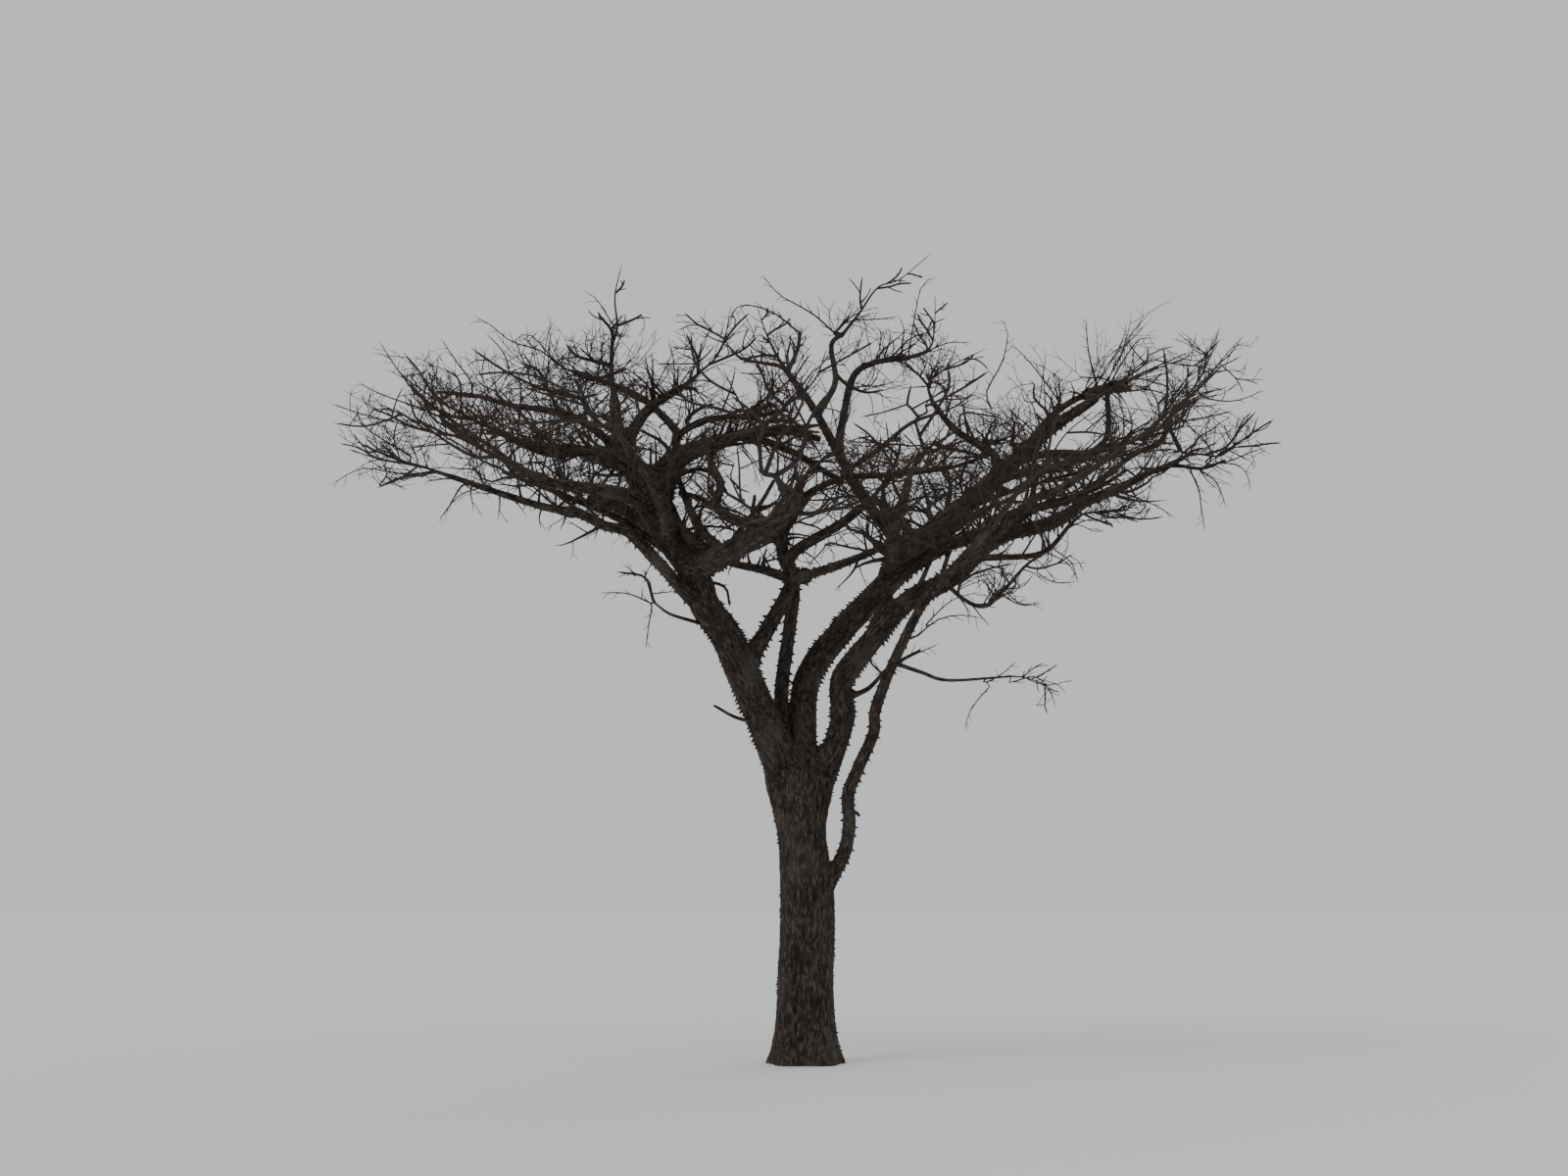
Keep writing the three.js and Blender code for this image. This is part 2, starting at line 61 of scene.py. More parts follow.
# The eye's height and the lens come from the view: metres, degrees, and millimetres on a 36 mm frame
stage = {"eye": (-0.206, -20.0, 1.6), "tilt": 8.45, "lens": 47.2, "film": 36, "furthest": 500,
         "floor": 160, "floorSides": 96, "floorColour": (0.8, 0.8, 0.8)}

# Centimetres, as in the solids. base and tip are radii, on says which limb a bough leaves and at which share
# of its length, and fullness keeps a limb stout for longer before it tapers. through is the line it follows.
limbs = {
    "left_limb": {"base": 17, "tip": 5.2, "fullness": 2, "through": [
        [-18, 0, 268], [-40, -12, 325], [-76, -36, 404], [-89, -42, 422], [-98, -45, 437],
        [-102, -46, 451], [-109, -47, 466], [-121, -46, 484], [-138, -44, 505], [-150, -40, 532],
        [-183, -20, 606], [-188, -10, 642]]},
    "middle_limb": {"base": 13.2, "tip": 4.6, "fullness": 2.6, "through": [
        [1, 0, 272], [-2, 8, 320], [4, 28, 373], [41, 50, 425], [93, 62, 480], [135, 68, 526],
        [187, 66, 571], [244, 50, 623], [295, 35, 656]]},
    "right_limb": {"base": 12, "tip": 3.6, "fullness": 1.5, "through": [
        [17, 0, 268], [36, -12, 326], [34, -20, 353], [37, -27, 367], [48, -33, 382],
        [61, -40, 397], [83, -53, 423], [101, -62, 438], [113, -66, 444], [128, -72, 450],
        [142, -78, 459], [156, -80, 472], [171, -80, 486], [193, -79, 498], [222, -74, 505],
        [246, -68, 515], [271, -58, 533], [302, -46, 547], [335, -30, 566]]},
    "slender_limb": {"base": 7.4, "tip": 3.4, "fullness": 0.8, "through": [
        [20, 0, 165], [38, -8, 201], [42, -15, 228], [41, -21, 254], [51, -28, 280], [65, -39, 312],
        [66, -45, 331], [76, -56, 360], [90, -68, 391], [104, -80, 419], [116, -112, 435], [151, -200, 469],
        [164, -240, 481]]},
    "centre_limb": {"base": 7.2, "tip": 4.2, "fullness": 1.5, "through": [
        [-22, 0, 296], [-23, 12, 357], [-15, 22, 421], [-11, 35, 462], [-21, 100, 511], [-42, 195, 560]]},
    "diagonal_limb": {"on": ("left_limb", 0.28), "base": 8.6, "tip": 4.2, "fullness": 1, "through": [
        [-40, -20, 408], [-13, -22, 460], [-14, -22, 486], [34, -20, 517], [56, -25, 534]]},
    "cross_bough": {"on": ("left_limb", 0.54), "base": 12, "tip": 4.8, "fullness": 1.2, "through": [
        [-88, -72, 473], [-38, -140, 490], [-12, -178, 508], [-22, -222, 514]]},
    "left_low_bough": {"on": ("left_limb", 0.44), "base": 7, "tip": 2.8, "fullness": 0.9, "through": [
        [-114, -62, 443], [-130, -62, 461], [-146, -60, 478], [-160, -55, 494], [-174, -50, 506],
        [-195, -42, 512], [-221, -30, 526], [-268, 0, 541], [-358, 25, 575]]},
    "left_mid_bough": {"on": ("left_limb", 0.67), "base": 8, "tip": 4, "fullness": 1, "through": [
        [-169, -85, 533], [-237, -145, 534], [-267, -165, 546]]},
    "left_far_bough": {"on": ("left_limb", 0.62), "base": 7.4, "tip": 4, "fullness": 1, "through": [
        [-150, 45, 543], [-184, 165, 594]]},
    "left_front_bough": {"on": ("left_limb", 0.61), "base": 7.4, "tip": 4, "fullness": 1, "through": [
        [-136, -120, 526], [-159, -215, 551]]},
    "left_back_bough": {"on": ("left_limb", 0.76), "base": 6.6, "tip": 3.6, "fullness": 1, "through": [
        [-181, 30, 582], [-234, 130, 618]]},
    "left_inner_bough": {"on": ("left_limb", 0.81), "base": 6, "tip": 3.4, "fullness": 1, "through": [
        [-197, -25, 589], [-251, -25, 587], [-297, -20, 607]]},
    "left_rise_bough": {"on": ("left_limb", 0.88), "base": 6.4, "tip": 3.4, "fullness": 1, "through": [
        [-153, -45, 626], [-117, -75, 642]]},
    "band_bough": {"on": ("left_limb", 0.67), "base": 9, "tip": 4.6, "fullness": 1, "through": [
        [-123, -85, 561], [-85, -125, 574], [-60, -145, 578]]},
    "top_bough": {"on": ("middle_limb", 0.52), "base": 7.4, "tip": 3.2, "fullness": 0.9, "through": [
        [84, 45, 523], [55, 25, 558], [30, 8, 601], [7, 0, 641], [-17, -15, 671]]},
    "top_tall_bough": {"on": ("top_bough", 0.78), "base": 3.6, "tip": 2.4, "fullness": 1, "through": [
        [23, 4, 649], [31, 5, 669], [27, 8, 705], [39, 8, 717]]},
    "top_right_bough": {"on": ("top_bough", 0.59), "base": 4.6, "tip": 2.7, "fullness": 1.2, "through": [
        [38, 25, 628], [49, 32, 677], [69, 38, 694], [108, 48, 703]]},
    "reaching_bough": {"on": ("diagonal_limb", 0.48), "base": 5.4, "tip": 3.2, "fullness": 0.8, "through": [
        [19, 20, 478], [62, 85, 504], [120, 185, 546]]},
    "riser_bough": {"on": ("middle_limb", 0.75), "base": 5.6, "tip": 3, "fullness": 1, "through": [
        [198, 95, 611], [161, 125, 644], [137, 130, 676]]},
    "right_mid_bough": {"on": ("middle_limb", 0.8), "base": 4.8, "tip": 3.4, "fullness": 1, "through": [
        [242, 15, 595], [264, -20, 587], [285, -50, 583]]},
    "right_low_bough": {"on": ("right_limb", 0.53), "base": 4.2, "tip": 2, "fullness": 0.8, "through": [
        [163, -100, 470], [218, -112, 473], [249, -110, 503]]},
    "right_back_bough": {"on": ("middle_limb", 0.56), "base": 7.4, "tip": 4.2, "fullness": 1, "through": [
        [149, 125, 536], [201, 200, 574]]},
    "front_bough": {"on": ("middle_limb", 0.46), "base": 8, "tip": 4.2, "fullness": 1, "through": [
        [82, -80, 488], [90, -205, 522]]},
    "back_bough": {"on": ("middle_limb", 0.52), "base": 7.4, "tip": 4.2, "fullness": 1, "through": [
        [109, 135, 540], [88, 230, 584]]},
    "front_rim_bough": {"on": ("right_limb", 0.6), "base": 5.2, "tip": 3.5, "fullness": 1, "through": [
        [206, -135, 517], [228, -155, 524], [249, -175, 534]]},
    "back_rim_bough": {"on": ("middle_limb", 0.73), "base": 5, "tip": 3.2, "fullness": 1, "through": [
        [229, 110, 596], [282, 145, 612]]},
    "bridge_bough": {"on": ("right_limb", 0.17), "base": 3.4, "tip": 1.4, "fullness": 0.6, "through": [
        [60, -24, 355], [81, -24, 376], [111, -32, 392]]},
    "low_twig_bough": {"on": ("slender_limb", 0.5), "base": 2.3, "tip": 1.1, "fullness": 0.8, "through": [
        [108, -75, 366], [134, -78, 358], [193, -75, 362]]},
    "left_twig_bough": {"on": ("left_limb", 0.38), "base": 2.4, "tip": 1.2, "fullness": 1, "through": [
        [-122, -56, 421], [-134, -60, 426], [-144, -61, 434]]},
    "dead_stub": {"on": ("left_limb", 0.14), "base": 2.4, "tip": 1.3, "fullness": 1, "through": [
        [-66, -28, 327], [-88, -40, 338]]},
}

# Masses of bare twigs, each on the tip of its limb: where its stem reaches, the half width and half height
# of the space round it, by how much that narrows towards the end, and how many shoots leave the stem.
masses = {
    "left_top_twigs": {"on": "left_limb", "reach": [-183, 0, 790],
        "spread": 95, "deep": 75, "narrowing": 0.9},
    "left_low_twigs": {"on": "left_low_bough", "reach": [-449, 35, 610],
        "spread": 84, "deep": 48, "narrowing": 0.3, "shoots": 5},
    "left_mid_twigs": {"on": "left_mid_bough", "reach": [-382, -212, 592],
        "spread": 106, "deep": 56, "narrowing": 0.3, "shoots": 5},
    "left_far_twigs": {"on": "left_far_bough", "reach": [-250, 388, 684], "spread": 122, "deep": 55},
    "left_front_twigs": {"on": "left_front_bough", "reach": [-226, -380, 578],
        "spread": 118, "deep": 52, "shoots": 5},
    "left_back_twigs": {"on": "left_back_bough", "reach": [-384, 278, 714],
        "spread": 116, "deep": 55, "narrowing": 0.4},
    "left_inner_twigs": {"on": "left_inner_bough", "reach": [-405, 0, 672],
        "spread": 90, "deep": 55, "narrowing": 0.3, "shoots": 5},
    "left_rise_twigs": {"on": "left_rise_bough", "reach": [-72, -94, 704],
        "spread": 88, "deep": 62, "narrowing": 0.5},
    "band_twigs": {"on": "band_bough", "reach": [18, -225, 640], "spread": 88, "deep": 55},
    "cross_twigs": {"on": "cross_bough", "reach": [-70, -388, 578],
        "spread": 118, "deep": 52, "shoots": 5},
    "centre_twigs": {"on": "centre_limb", "reach": [-98, 394, 676], "spread": 124, "deep": 55},
    "diagonal_twigs": {"on": "diagonal_limb", "reach": [88, -90, 606], "spread": 76, "deep": 58},
    "top_twigs": {"on": "top_bough", "reach": [-48, -22, 738],
        "spread": 76, "deep": 52, "narrowing": 0.9},
    "top_tall_twigs": {"on": "top_tall_bough", "reach": [127, -25, 791],
        "spread": 76, "deep": 55, "narrowing": 0.9},
    "top_right_twigs": {"on": "top_right_bough", "reach": [138, 88, 782],
        "spread": 84, "deep": 55, "narrowing": 0.9},
    "reaching_twigs": {"on": "reaching_bough", "reach": [206, 350, 652], "spread": 100, "deep": 52},
    "riser_twigs": {"on": "riser_bough", "reach": [198, 140, 738],
        "spread": 86, "deep": 60, "narrowing": 0.7},
    "middle_twigs": {"on": "middle_limb", "reach": [372, 25, 702],
        "spread": 98, "deep": 52, "narrowing": 0.35, "shoots": 5},
    "right_mid_twigs": {"on": "right_mid_bough", "reach": [416, -112, 684],
        "spread": 95, "deep": 60, "narrowing": 0.3, "shoots": 5},
    "right_rim_twigs": {"on": "right_limb", "reach": [457, 5, 600],
        "spread": 92, "deep": 52, "narrowing": 0.3, "shoots": 5},
    "right_low_twigs": {"on": "right_low_bough", "reach": [300, -122, 506], "spread": 58, "deep": 34},
    "slender_twigs": {"on": "slender_limb", "reach": [235, -360, 552], "spread": 114, "deep": 52},
    "right_back_twigs": {"on": "right_back_bough", "reach": [324, 350, 672], "spread": 118, "deep": 54},
    "front_twigs": {"on": "front_bough", "reach": [108, -395, 560],
        "spread": 114, "deep": 52, "shoots": 5},
    "back_twigs": {"on": "back_bough", "reach": [58, 425, 682], "spread": 118, "deep": 54},
    "front_rim_twigs": {"on": "front_rim_bough", "reach": [352, -262, 606], "spread": 114, "deep": 54},
    "back_rim_twigs": {"on": "back_rim_bough", "reach": [426, 214, 698],
        "spread": 112, "deep": 56, "narrowing": 0.4},
    "low_twigs": {"on": "low_twig_bough", "reach": [230, -80, 346], "spread": 40, "deep": 36},
}


# A bough or twig in centimetres: its radii at base and tip, how far its own shoots reach, and its line. A
# free one may grow below the crown.
def bough(base, tip, room, *through, free=False):
    return {"base": base, "tip": tip, "room": room, "through": through, "free": free}


# Smaller boughs inside the crown, which the solids don't have. Each starts at the nearest bough.
innerBoughs = {
    "curl": bough(6.6, 3, 60,
        [-10, -165, 505], [-38, -156, 493], [-67, -147, 499], [-83, -138, 514], [-79, -128, 535],
        [-88, -119, 556], [-94, -110, 579]),
    "level": bough(8, 1.8, 70,
        [-143, -30, 567], [-127, -38, 580], [-102, -46, 590], [-73, -54, 597], [-35, -62, 602],
        [15, -70, 605]),
    "outer": bough(5.2, 1.8, 70,
        [-177, 10, 583], [-196, 18, 609], [-228, 27, 634], [-259, 35, 645], [-300, 43, 652],
        [-337, 52, 664], [-378, 60, 670]),
    "under": bough(4.6, 1.6, 70,
        [-164, -50, 538], [-196, -58, 546], [-232, -65, 549], [-267, -72, 558], [-300, -80, 581],
        [-338, -88, 606], [-375, -95, 634]),
    "hill": bough(4.4, 1.8, 66,
        [-175, -20, 577], [-197, -10, 591], [-225, 0, 597], [-256, 10, 602], [-288, 20, 611],
        [-322, 30, 622]),
    "link": bough(5.4, 3, 40,
        [-15, -18, 464], [-40, -20, 472], [-62, -22, 476], [-93, -24, 483]),
    "short_rise": bough(3.6, 1.8, 60,
        [-82, -40, 480], [-66, -50, 502], [-44, -60, 529], [-30, -70, 551]),
    "centre_rise": bough(7.5, 2.8, 66,
        [-13, 10, 470], [-24, 2, 487], [-23, -6, 510], [-9, -14, 531], [6, -22, 549], [39, -30, 563]),
    "short_left": bough(3.4, 1.8, 60,
        [-24, 0, 504], [-40, 13, 513], [-52, 27, 531], [-50, 40, 558]),
    "low_fill": bough(5.6, 2, 50,
        [-121, -30, 478], [-153, -22, 503], [-190, -14, 527], [-227, -6, 544], [-266, 2, 561],
        [-302, 10, 576]),
    "low_inner": bough(5, 2.2, 50,
        [-138, -40, 504], [-167, -7, 531], [-206, 27, 555], [-246, 60, 579]),
    "between": bough(3.6, 1.6, 60,
        [117, 30, 516], [161, 24, 539], [205, 18, 557], [248, 12, 569], [282, 6, 578], [320, 0, 599]),
    "burl": bough(5, 3, 40,
        [289, 58, 667], [305, 56, 673], [321, 54, 670], [335, 52, 672]),
    "loop": bough(2.6, 1.3, 50,
        [128, -95, 450], [147, -101, 431], [166, -107, 424], [183, -113, 438], [204, -119, 461],
        [222, -125, 472], free=True),
    "steep": bough(4.8, 2.6, 60,
        [227, 66, 613], [251, 63, 642], [277, 60, 661], [308, 58, 671], [317, 55, 673]),
    "crossing": bough(4, 2.8, 60,
        [186, 20, 571], [226, 32, 583], [258, 43, 588], [277, 55, 599], [308, 67, 620], [315, 78, 653],
        [315, 90, 680]),
    "lower": bough(5, 2, 60,
        [171, -60, 518], [214, -66, 529], [256, -71, 537], [288, -77, 558], [312, -83, 575],
        [338, -89, 585], [345, -94, 607], [371, -100, 623]),
    "rim_low": bough(3.4, 1.4, 50,
        [285, -30, 546], [320, -32, 559], [354, -35, 572], [386, -38, 569], [409, -40, 577]),
    "mid_cross": bough(3.6, 1.8, 60,
        [43, -20, 566], [71, -8, 568], [111, 5, 574], [151, 18, 583], [192, 30, 599]),
    "mid_rise": bough(3, 1.6, 50,
        [58, 20, 589], [83, 33, 610], [109, 47, 634], [142, 60, 649]),
    "fork_left": bough(2.4, 1.1, 40,
        [-17, -16, 672], [-25, -22, 676], [-40, -28, 677], [-62, -34, 680], [-76, -40, 692]),
    "fork_up": bough(2.8, 1.6, 40,
        [-17, -15, 672], [-9, -12, 690], [-6, -8, 702], [-5, -5, 715]),
    "band_upper": bough(4.2, 2, 50,
        [-126, -40, 606], [-104, -50, 616], [-77, -60, 617], [-49, -70, 614], [-16, -80, 618]),
    "band_thick": bough(6.4, 3.2, 56,
        [-123, -80, 568], [-103, -86, 581], [-75, -92, 588], [-44, -98, 590], [-16, -104, 591],
        [14, -110, 582]),
    "band_down": bough(4.6, 2.8, 50,
        [-56, -70, 593], [-30, -62, 587], [-6, -55, 578], [17, -48, 565], [37, -40, 555]),
    "upper_left": bough(4.8, 2.4, 60,
        [-127, -10, 615], [-146, 2, 637], [-170, 15, 657], [-199, 28, 671], [-235, 40, 685]),
    "join_low": bough(6.4, 4.4, 40,
        [-114, -46, 465], [-124, -43, 480], [-133, -40, 496], [-152, -36, 511], [-179, -33, 529],
        [-210, -30, 542]),
    "brace": bough(5.4, 3.2, 44,
        [-78, -84, 482], [-99, -76, 502], [-112, -68, 527], [-120, -60, 549]),
    "upper_far": bough(3, 1.8, 60,
        [223, 40, 593], [247, 50, 602], [275, 60, 605], [304, 70, 612], [346, 80, 625], [375, 90, 634]),
    "shoulder": bough(9, 5, 44,
        [81, 10, 462], [110, -4, 479], [133, -18, 492], [156, -32, 500], [178, -46, 506],
        [205, -60, 505]),
    "crotch": bough(7, 4, 44,
        [-81, -66, 468], [-94, -62, 484], [-110, -58, 495], [-122, -54, 511], [-130, -50, 531]),
    "band_fill": bough(5, 1.4, 50,
        [-113, -100, 578], [-85, -108, 584], [-53, -115, 588], [-21, -122, 589], [14, -130, 584]),
    "weld": bough(7, 5, 20,
        [63, -30, 405], [68, -23, 419], [75, -17, 433], [83, -10, 448]),
    "tie_low": bough(3, 2, 14,
        [104, -60, 439], [109, -45, 452], [117, -15, 469], [126, 20, 489]),
    "tie_high": bough(2.8, 2, 14,
        [126, -74, 452], [132, -50, 468], [139, -20, 485], [148, 10, 505]),
    "knob": bough(2.6, 1.6, 10,
        [43, -17, 240], [49, -17, 237], [52, -17, 233]),
    "fork_low": bough(3, 1.4, 46,
        [-124, -60, 541], [-103, -70, 534], [-81, -80, 521], [-64, -90, 505]),
    "fork_high": bough(2.8, 1.3, 46,
        [-122, -60, 561], [-103, -67, 564], [-87, -73, 555], [-75, -80, 538]),
    "low_right": bough(4, 2, 56,
        [163, -100, 493], [195, -106, 505], [219, -112, 519], [242, -118, 524], [271, -124, 533],
        [298, -130, 549]),
}
# Long thin twigs that stand out of the crown's rim
longTwigs = {
    "top_a": bough(1.1, 0.4, 14,
        [-5, -5, 713], [-28, -14, 730], [-51, -22, 737], [-67, -31, 733], [-76, -40, 714]),
    "top_b": bough(1.1, 0.4, 14,
        [29, 8, 716], [9, 6, 735], [-9, 4, 746], [-27, 2, 757], [-45, 0, 779]),
    "top_c": bough(1, 0.4, 12,
        [47, 8, 731], [72, 19, 735], [97, 30, 741]),
    "top_d": bough(1, 0.4, 12,
        [106, 48, 704], [114, 45, 749], [121, 43, 777], [136, 40, 788]),
    "top_e": bough(0.9, 0.4, 10,
        [128, 48, 710], [149, 54, 720], [174, 60, 722]),
    "left_a": bough(1, 0.4, 14,
        [-268, -20, 698], [-295, -13, 706], [-314, -7, 722], [-334, 0, 734]),
    "left_b": bough(1, 0.4, 14,
        [-258, 20, 695], [-279, 10, 718], [-296, 0, 703]),
    "left_c": bough(1.1, 0.4, 14,
        [-339, 30, 680], [-351, 20, 692], [-367, 10, 714]),
    "left_d": bough(1.1, 0.4, 14,
        [-396, 40, 665], [-414, 30, 688], [-431, 20, 714]),
    "left_e": bough(1.1, 0.4, 14,
        [-376, 20, 640], [-412, 20, 652], [-436, 20, 662], [-453, 20, 672]),
    "left_f": bough(1.1, 0.4, 14,
        [-394, 20, 597], [-427, 23, 615], [-448, 27, 631], [-453, 30, 654]),
    "left_g": bough(1, 0.4, 14,
        [-384, 20, 571], [-420, 30, 579], [-449, 40, 585], [-484, 50, 569]),
    "left_h": bough(0.9, 0.35, 12,
        [-312, 0, 561], [-339, 0, 552], [-352, 0, 539], [-364, 0, 521]),
    "left_i": bough(1, 0.4, 14,
        [-174, -40, 692], [-192, -37, 720], [-205, -33, 740], [-217, -30, 749]),
    "right_a": bough(1.1, 0.4, 14,
        [402, 30, 664], [421, 20, 688], [427, 10, 694], [439, 0, 711]),
    "right_b": bough(1.1, 0.4, 14,
        [396, 20, 652], [422, 13, 646], [445, 7, 651], [459, 0, 659]),
    "right_c": bough(1.1, 0.4, 14,
        [394, 0, 577], [421, 0, 583], [442, 0, 593], [461, 0, 599]),
    "right_d": bough(0.9, 0.35, 12,
        [405, -10, 579], [427, -10, 577], [437, -10, 567], [439, -10, 550]),
    "right_e": bough(0.9, 0.35, 12,
        [384, -30, 569], [401, -30, 557], [411, -30, 530]),
    "right_f": bough(0.9, 0.35, 12,
        [374, -40, 567], [382, -40, 547], [384, -40, 530], [387, -40, 504]),
    "right_g": bough(0.9, 0.35, 12,
        [309, -60, 539], [336, -65, 527], [354, -70, 513]),
    "right_h": bough(0.9, 0.35, 12,
        [235, -80, 477], [251, -85, 467], [256, -90, 446]),
    "right_i": bough(0.9, 0.35, 12,
        [183, -100, 437], [200, -105, 426], [220, -110, 426]),
    "right_j": bough(1.1, 0.4, 14,
        [300, 50, 669], [291, 45, 707], [288, 40, 745]),
    "right_k": bough(1.1, 0.4, 14,
        [310, 50, 671], [331, 47, 706], [345, 43, 722], [362, 40, 719]),
    "right_l": bough(1, 0.4, 14,
        [316, 50, 670], [362, 55, 693], [396, 60, 707]),
    "right_m": bough(1, 0.4, 14,
        [260, 50, 662], [231, 55, 702], [212, 60, 722]),
    "right_n": bough(1, 0.4, 14,
        [185, 50, 675], [204, 60, 706], [211, 70, 740], [200, 80, 756]),
    "slender_a": bough(1.1, 0.4, 14,
        [77, -70, 368], [100, -65, 382], [128, -60, 395]),
    "slender_b": bough(1, 0.4, 14,
        [101, -110, 390], [123, -107, 410], [147, -103, 416], [169, -100, 412]),
    "slender_c": bough(0.9, 0.35, 12,
        [111, -130, 407], [135, -125, 428], [162, -120, 436]),
    "slender_d": bough(1.3, 0.6, 14,
        [70, -60, 364], [58, -55, 381], [54, -50, 398]),
    "hang": bough(1.9, 1.1, 8,
        [-84, -38, 457], [-75, -38, 451], [-73, -38, 432]),
    "left_low_a": bough(1, 0.4, 14,
        [-146, -60, 432], [-170, -65, 442], [-197, -70, 442]),
    "left_low_b": bough(1.9, 0.9, 14,
        [-145, -60, 434], [-150, -60, 452], [-156, -60, 460], [-182, -60, 464]),
    "left_low_c": bough(0.9, 0.35, 10,
        [-146, -60, 431], [-150, -60, 406], [-152, -60, 388]),
    "low_a": bough(0.8, 0.35, 10,
        [165, -80, 353], [182, -80, 362], [199, -80, 377]),
    "low_b": bough(0.7, 0.35, 10,
        [174, -80, 351], [161, -80, 338], [151, -80, 322], [149, -80, 308]),
    "low_c": bough(0.8, 0.35, 12,
        [191, -80, 353], [215, -80, 360], [229, -80, 347], [234, -80, 330]),
    "left_fork_a": bough(0.7, 0.35, 10,
        [-155, -61, 454], [-150, -61, 467], [-141, -61, 476]),
    "left_fork_b": bough(0.7, 0.35, 10,
        [-146, -61, 442], [-131, -61, 444], [-117, -61, 445]),
    "left_fork_c": bough(0.6, 0.3, 10,
        [-163, -61, 458], [-169, -61, 467], [-176, -61, 471]),
    "loop_a": bough(0.7, 0.35, 8,
        [186, -116, 436], [199, -116, 425], [218, -116, 427]),
    "loop_b": bough(0.7, 0.35, 8,
        [213, -122, 452], [229, -122, 444], [250, -122, 445]),
    "loop_c": bough(0.7, 0.35, 8,
        [228, -125, 469], [242, -125, 461], [251, -125, 446]),
}
# Short boughs that crowded twigs fan out from
knots = {
    "left_knot": bough(2.6, 1.2, 62,
        [-216, 0, 665], [-197, 5, 672], [-178, 10, 682]),
    "left_high_knot": bough(2.2, 1.2, 56,
        [-252, -30, 655], [-263, -35, 669], [-277, -40, 673]),
    "band_knot": bough(2.6, 1.2, 36,
        [-54, -90, 610], [-39, -93, 617], [-24, -96, 618]),
    "band_left_knot": bough(2.6, 1.2, 44,
        [-115, -60, 617], [-100, -63, 625], [-87, -66, 627]),
    "valley_knot": bough(2.2, 1.2, 40,
        [134, 130, 691], [136, 135, 705], [139, 140, 715]),
    "middle_knot": bough(2.6, 1.2, 44,
        [180, 60, 622], [196, 65, 619], [211, 70, 625]),
    "high_knot": bough(2.8, 1.4, 80,
        [290, 60, 672], [311, 55, 676], [333, 50, 680]),
    "right_knot": bough(2.4, 1.2, 62,
        [355, -20, 630], [369, -25, 639], [386, -30, 638]),
    "far_left_knot": bough(3.2, 1.6, 52,
        [-352, -50, 611], [-336, -40, 604], [-318, -30, 595]),
    "left_mid_knot": bough(2.4, 1.2, 50,
        [-241, -20, 652], [-225, -10, 647], [-204, 0, 653]),
    "rise_knot": bough(2.8, 1.4, 60,
        [-138, -60, 636], [-121, -60, 644], [-102, -60, 642]),
    "band_low_knot": bough(2.6, 1.4, 50,
        [-92, -110, 569], [-76, -115, 575], [-55, -120, 576]),
    "middle_high_knot": bough(2.2, 1.1, 50,
        [46, 10, 661], [62, 15, 657], [80, 20, 662]),
    "valley_low_knot": bough(2.6, 1.3, 50,
        [139, 20, 603], [156, 15, 598], [175, 10, 593]),
    "loop_knot": bough(1.6, 0.8, 34,
        [147, -112, 453], [162, -113, 457], [176, -114, 460]),
    "loop_low_knot": bough(1.4, 0.8, 28,
        [170, -112, 431], [178, -114, 436], [186, -116, 442]),
    "stem_knot": bough(1.8, 1, 34,
        [25, 6, 715], [35, 7, 723], [45, 8, 734]),
    "elbow_knot": bough(2, 1, 34,
        [59, 30, 692], [79, 37, 696], [102, 44, 703]),
    "centre_knot": bough(2.2, 1.2, 40,
        [35, -20, 569], [51, -23, 576], [66, -26, 587]),
}

# How the shoots branch, as in the solids: lengths in metres, angles in radians. limbStep and stepPerRadius
# are millimetres.
rule = {
    "limbStep": 180, "stepPerRadius": 22, "fewestSteps": 4, "mostSteps": 14,
    "clearance": 0.00045, "stemStep": 0.29, "stemSway": 0.1, "stemTip": 0.012, "slimming": 0.66,
    "stemBend": 0.45, "stemBase": 0.92, "stemTaper": 0.8, "fewestStemSteps": 3,
    "firstShoot": 0.08, "shootRange": 0.86, "golden": 0.618034, "goldenTurn": 2.399963, "flatten": 0.38,
    "curl": 0.1, "tries": 8, "retryTurn": 1.3, "narrowing": 0.25, "limbGap": 0.004, "margin": 0.016,
    "shortest": 0.75, "lengthRange": 0.5, "crookScale": (2, 2, 1.4), "tipShare": 0.8,
    "stemSeed": 101, "stemSeedStep": 17, "massSeed": 5003, "massSeedStep": 211,
    "levels": [
        {"count": 4, "steps": 3, "reach": 0.92, "lean": (0.6, 1.2), "tip": 0.009, "crook": 0.46},
        {"count": 2, "steps": 2, "reach": 0.52, "lean": (0.6, 1.2), "tip": 0.005, "crook": 0.4},
    ],
}
modulus, multiplier = 2147483647, 48271
curveSamples = 201


def unit(v):
    return v / np.linalg.norm(v, axis=-1, keepdims=True)


def curveAt(guides, t):  # points on a smooth curve through one line of guides, or through many at once
    guides = np.asarray(guides, float)
    last = guides.shape[-2] - 1
    place = np.clip(t, 0, 1) * last
    index = np.minimum(place.astype(int), last - 1)
    w = (place - index)[:, None]
    before = 2 * guides[..., :1, :] - guides[..., 1:2, :]
    after = 2 * guides[..., -1:, :] - guides[..., -2:-1, :]
    ends = np.concatenate([before, guides, after], axis=-2)
    a, b, c, d = (ends[..., index + k, :] for k in range(4))
    leave, arrive = (c - a) / 2, (d - b) / 2
    squared = 3 * (c - b) - 2 * leave - arrive
    cubed = 2 * (b - c) + leave + arrive
    return b + leave * w + squared * w ** 2 + cubed * w ** 3


def lengthsAlong(line):  # how far along its line each point is
    return np.concatenate([[0], np.cumsum(np.linalg.norm(np.diff(line, axis=0), axis=1))])


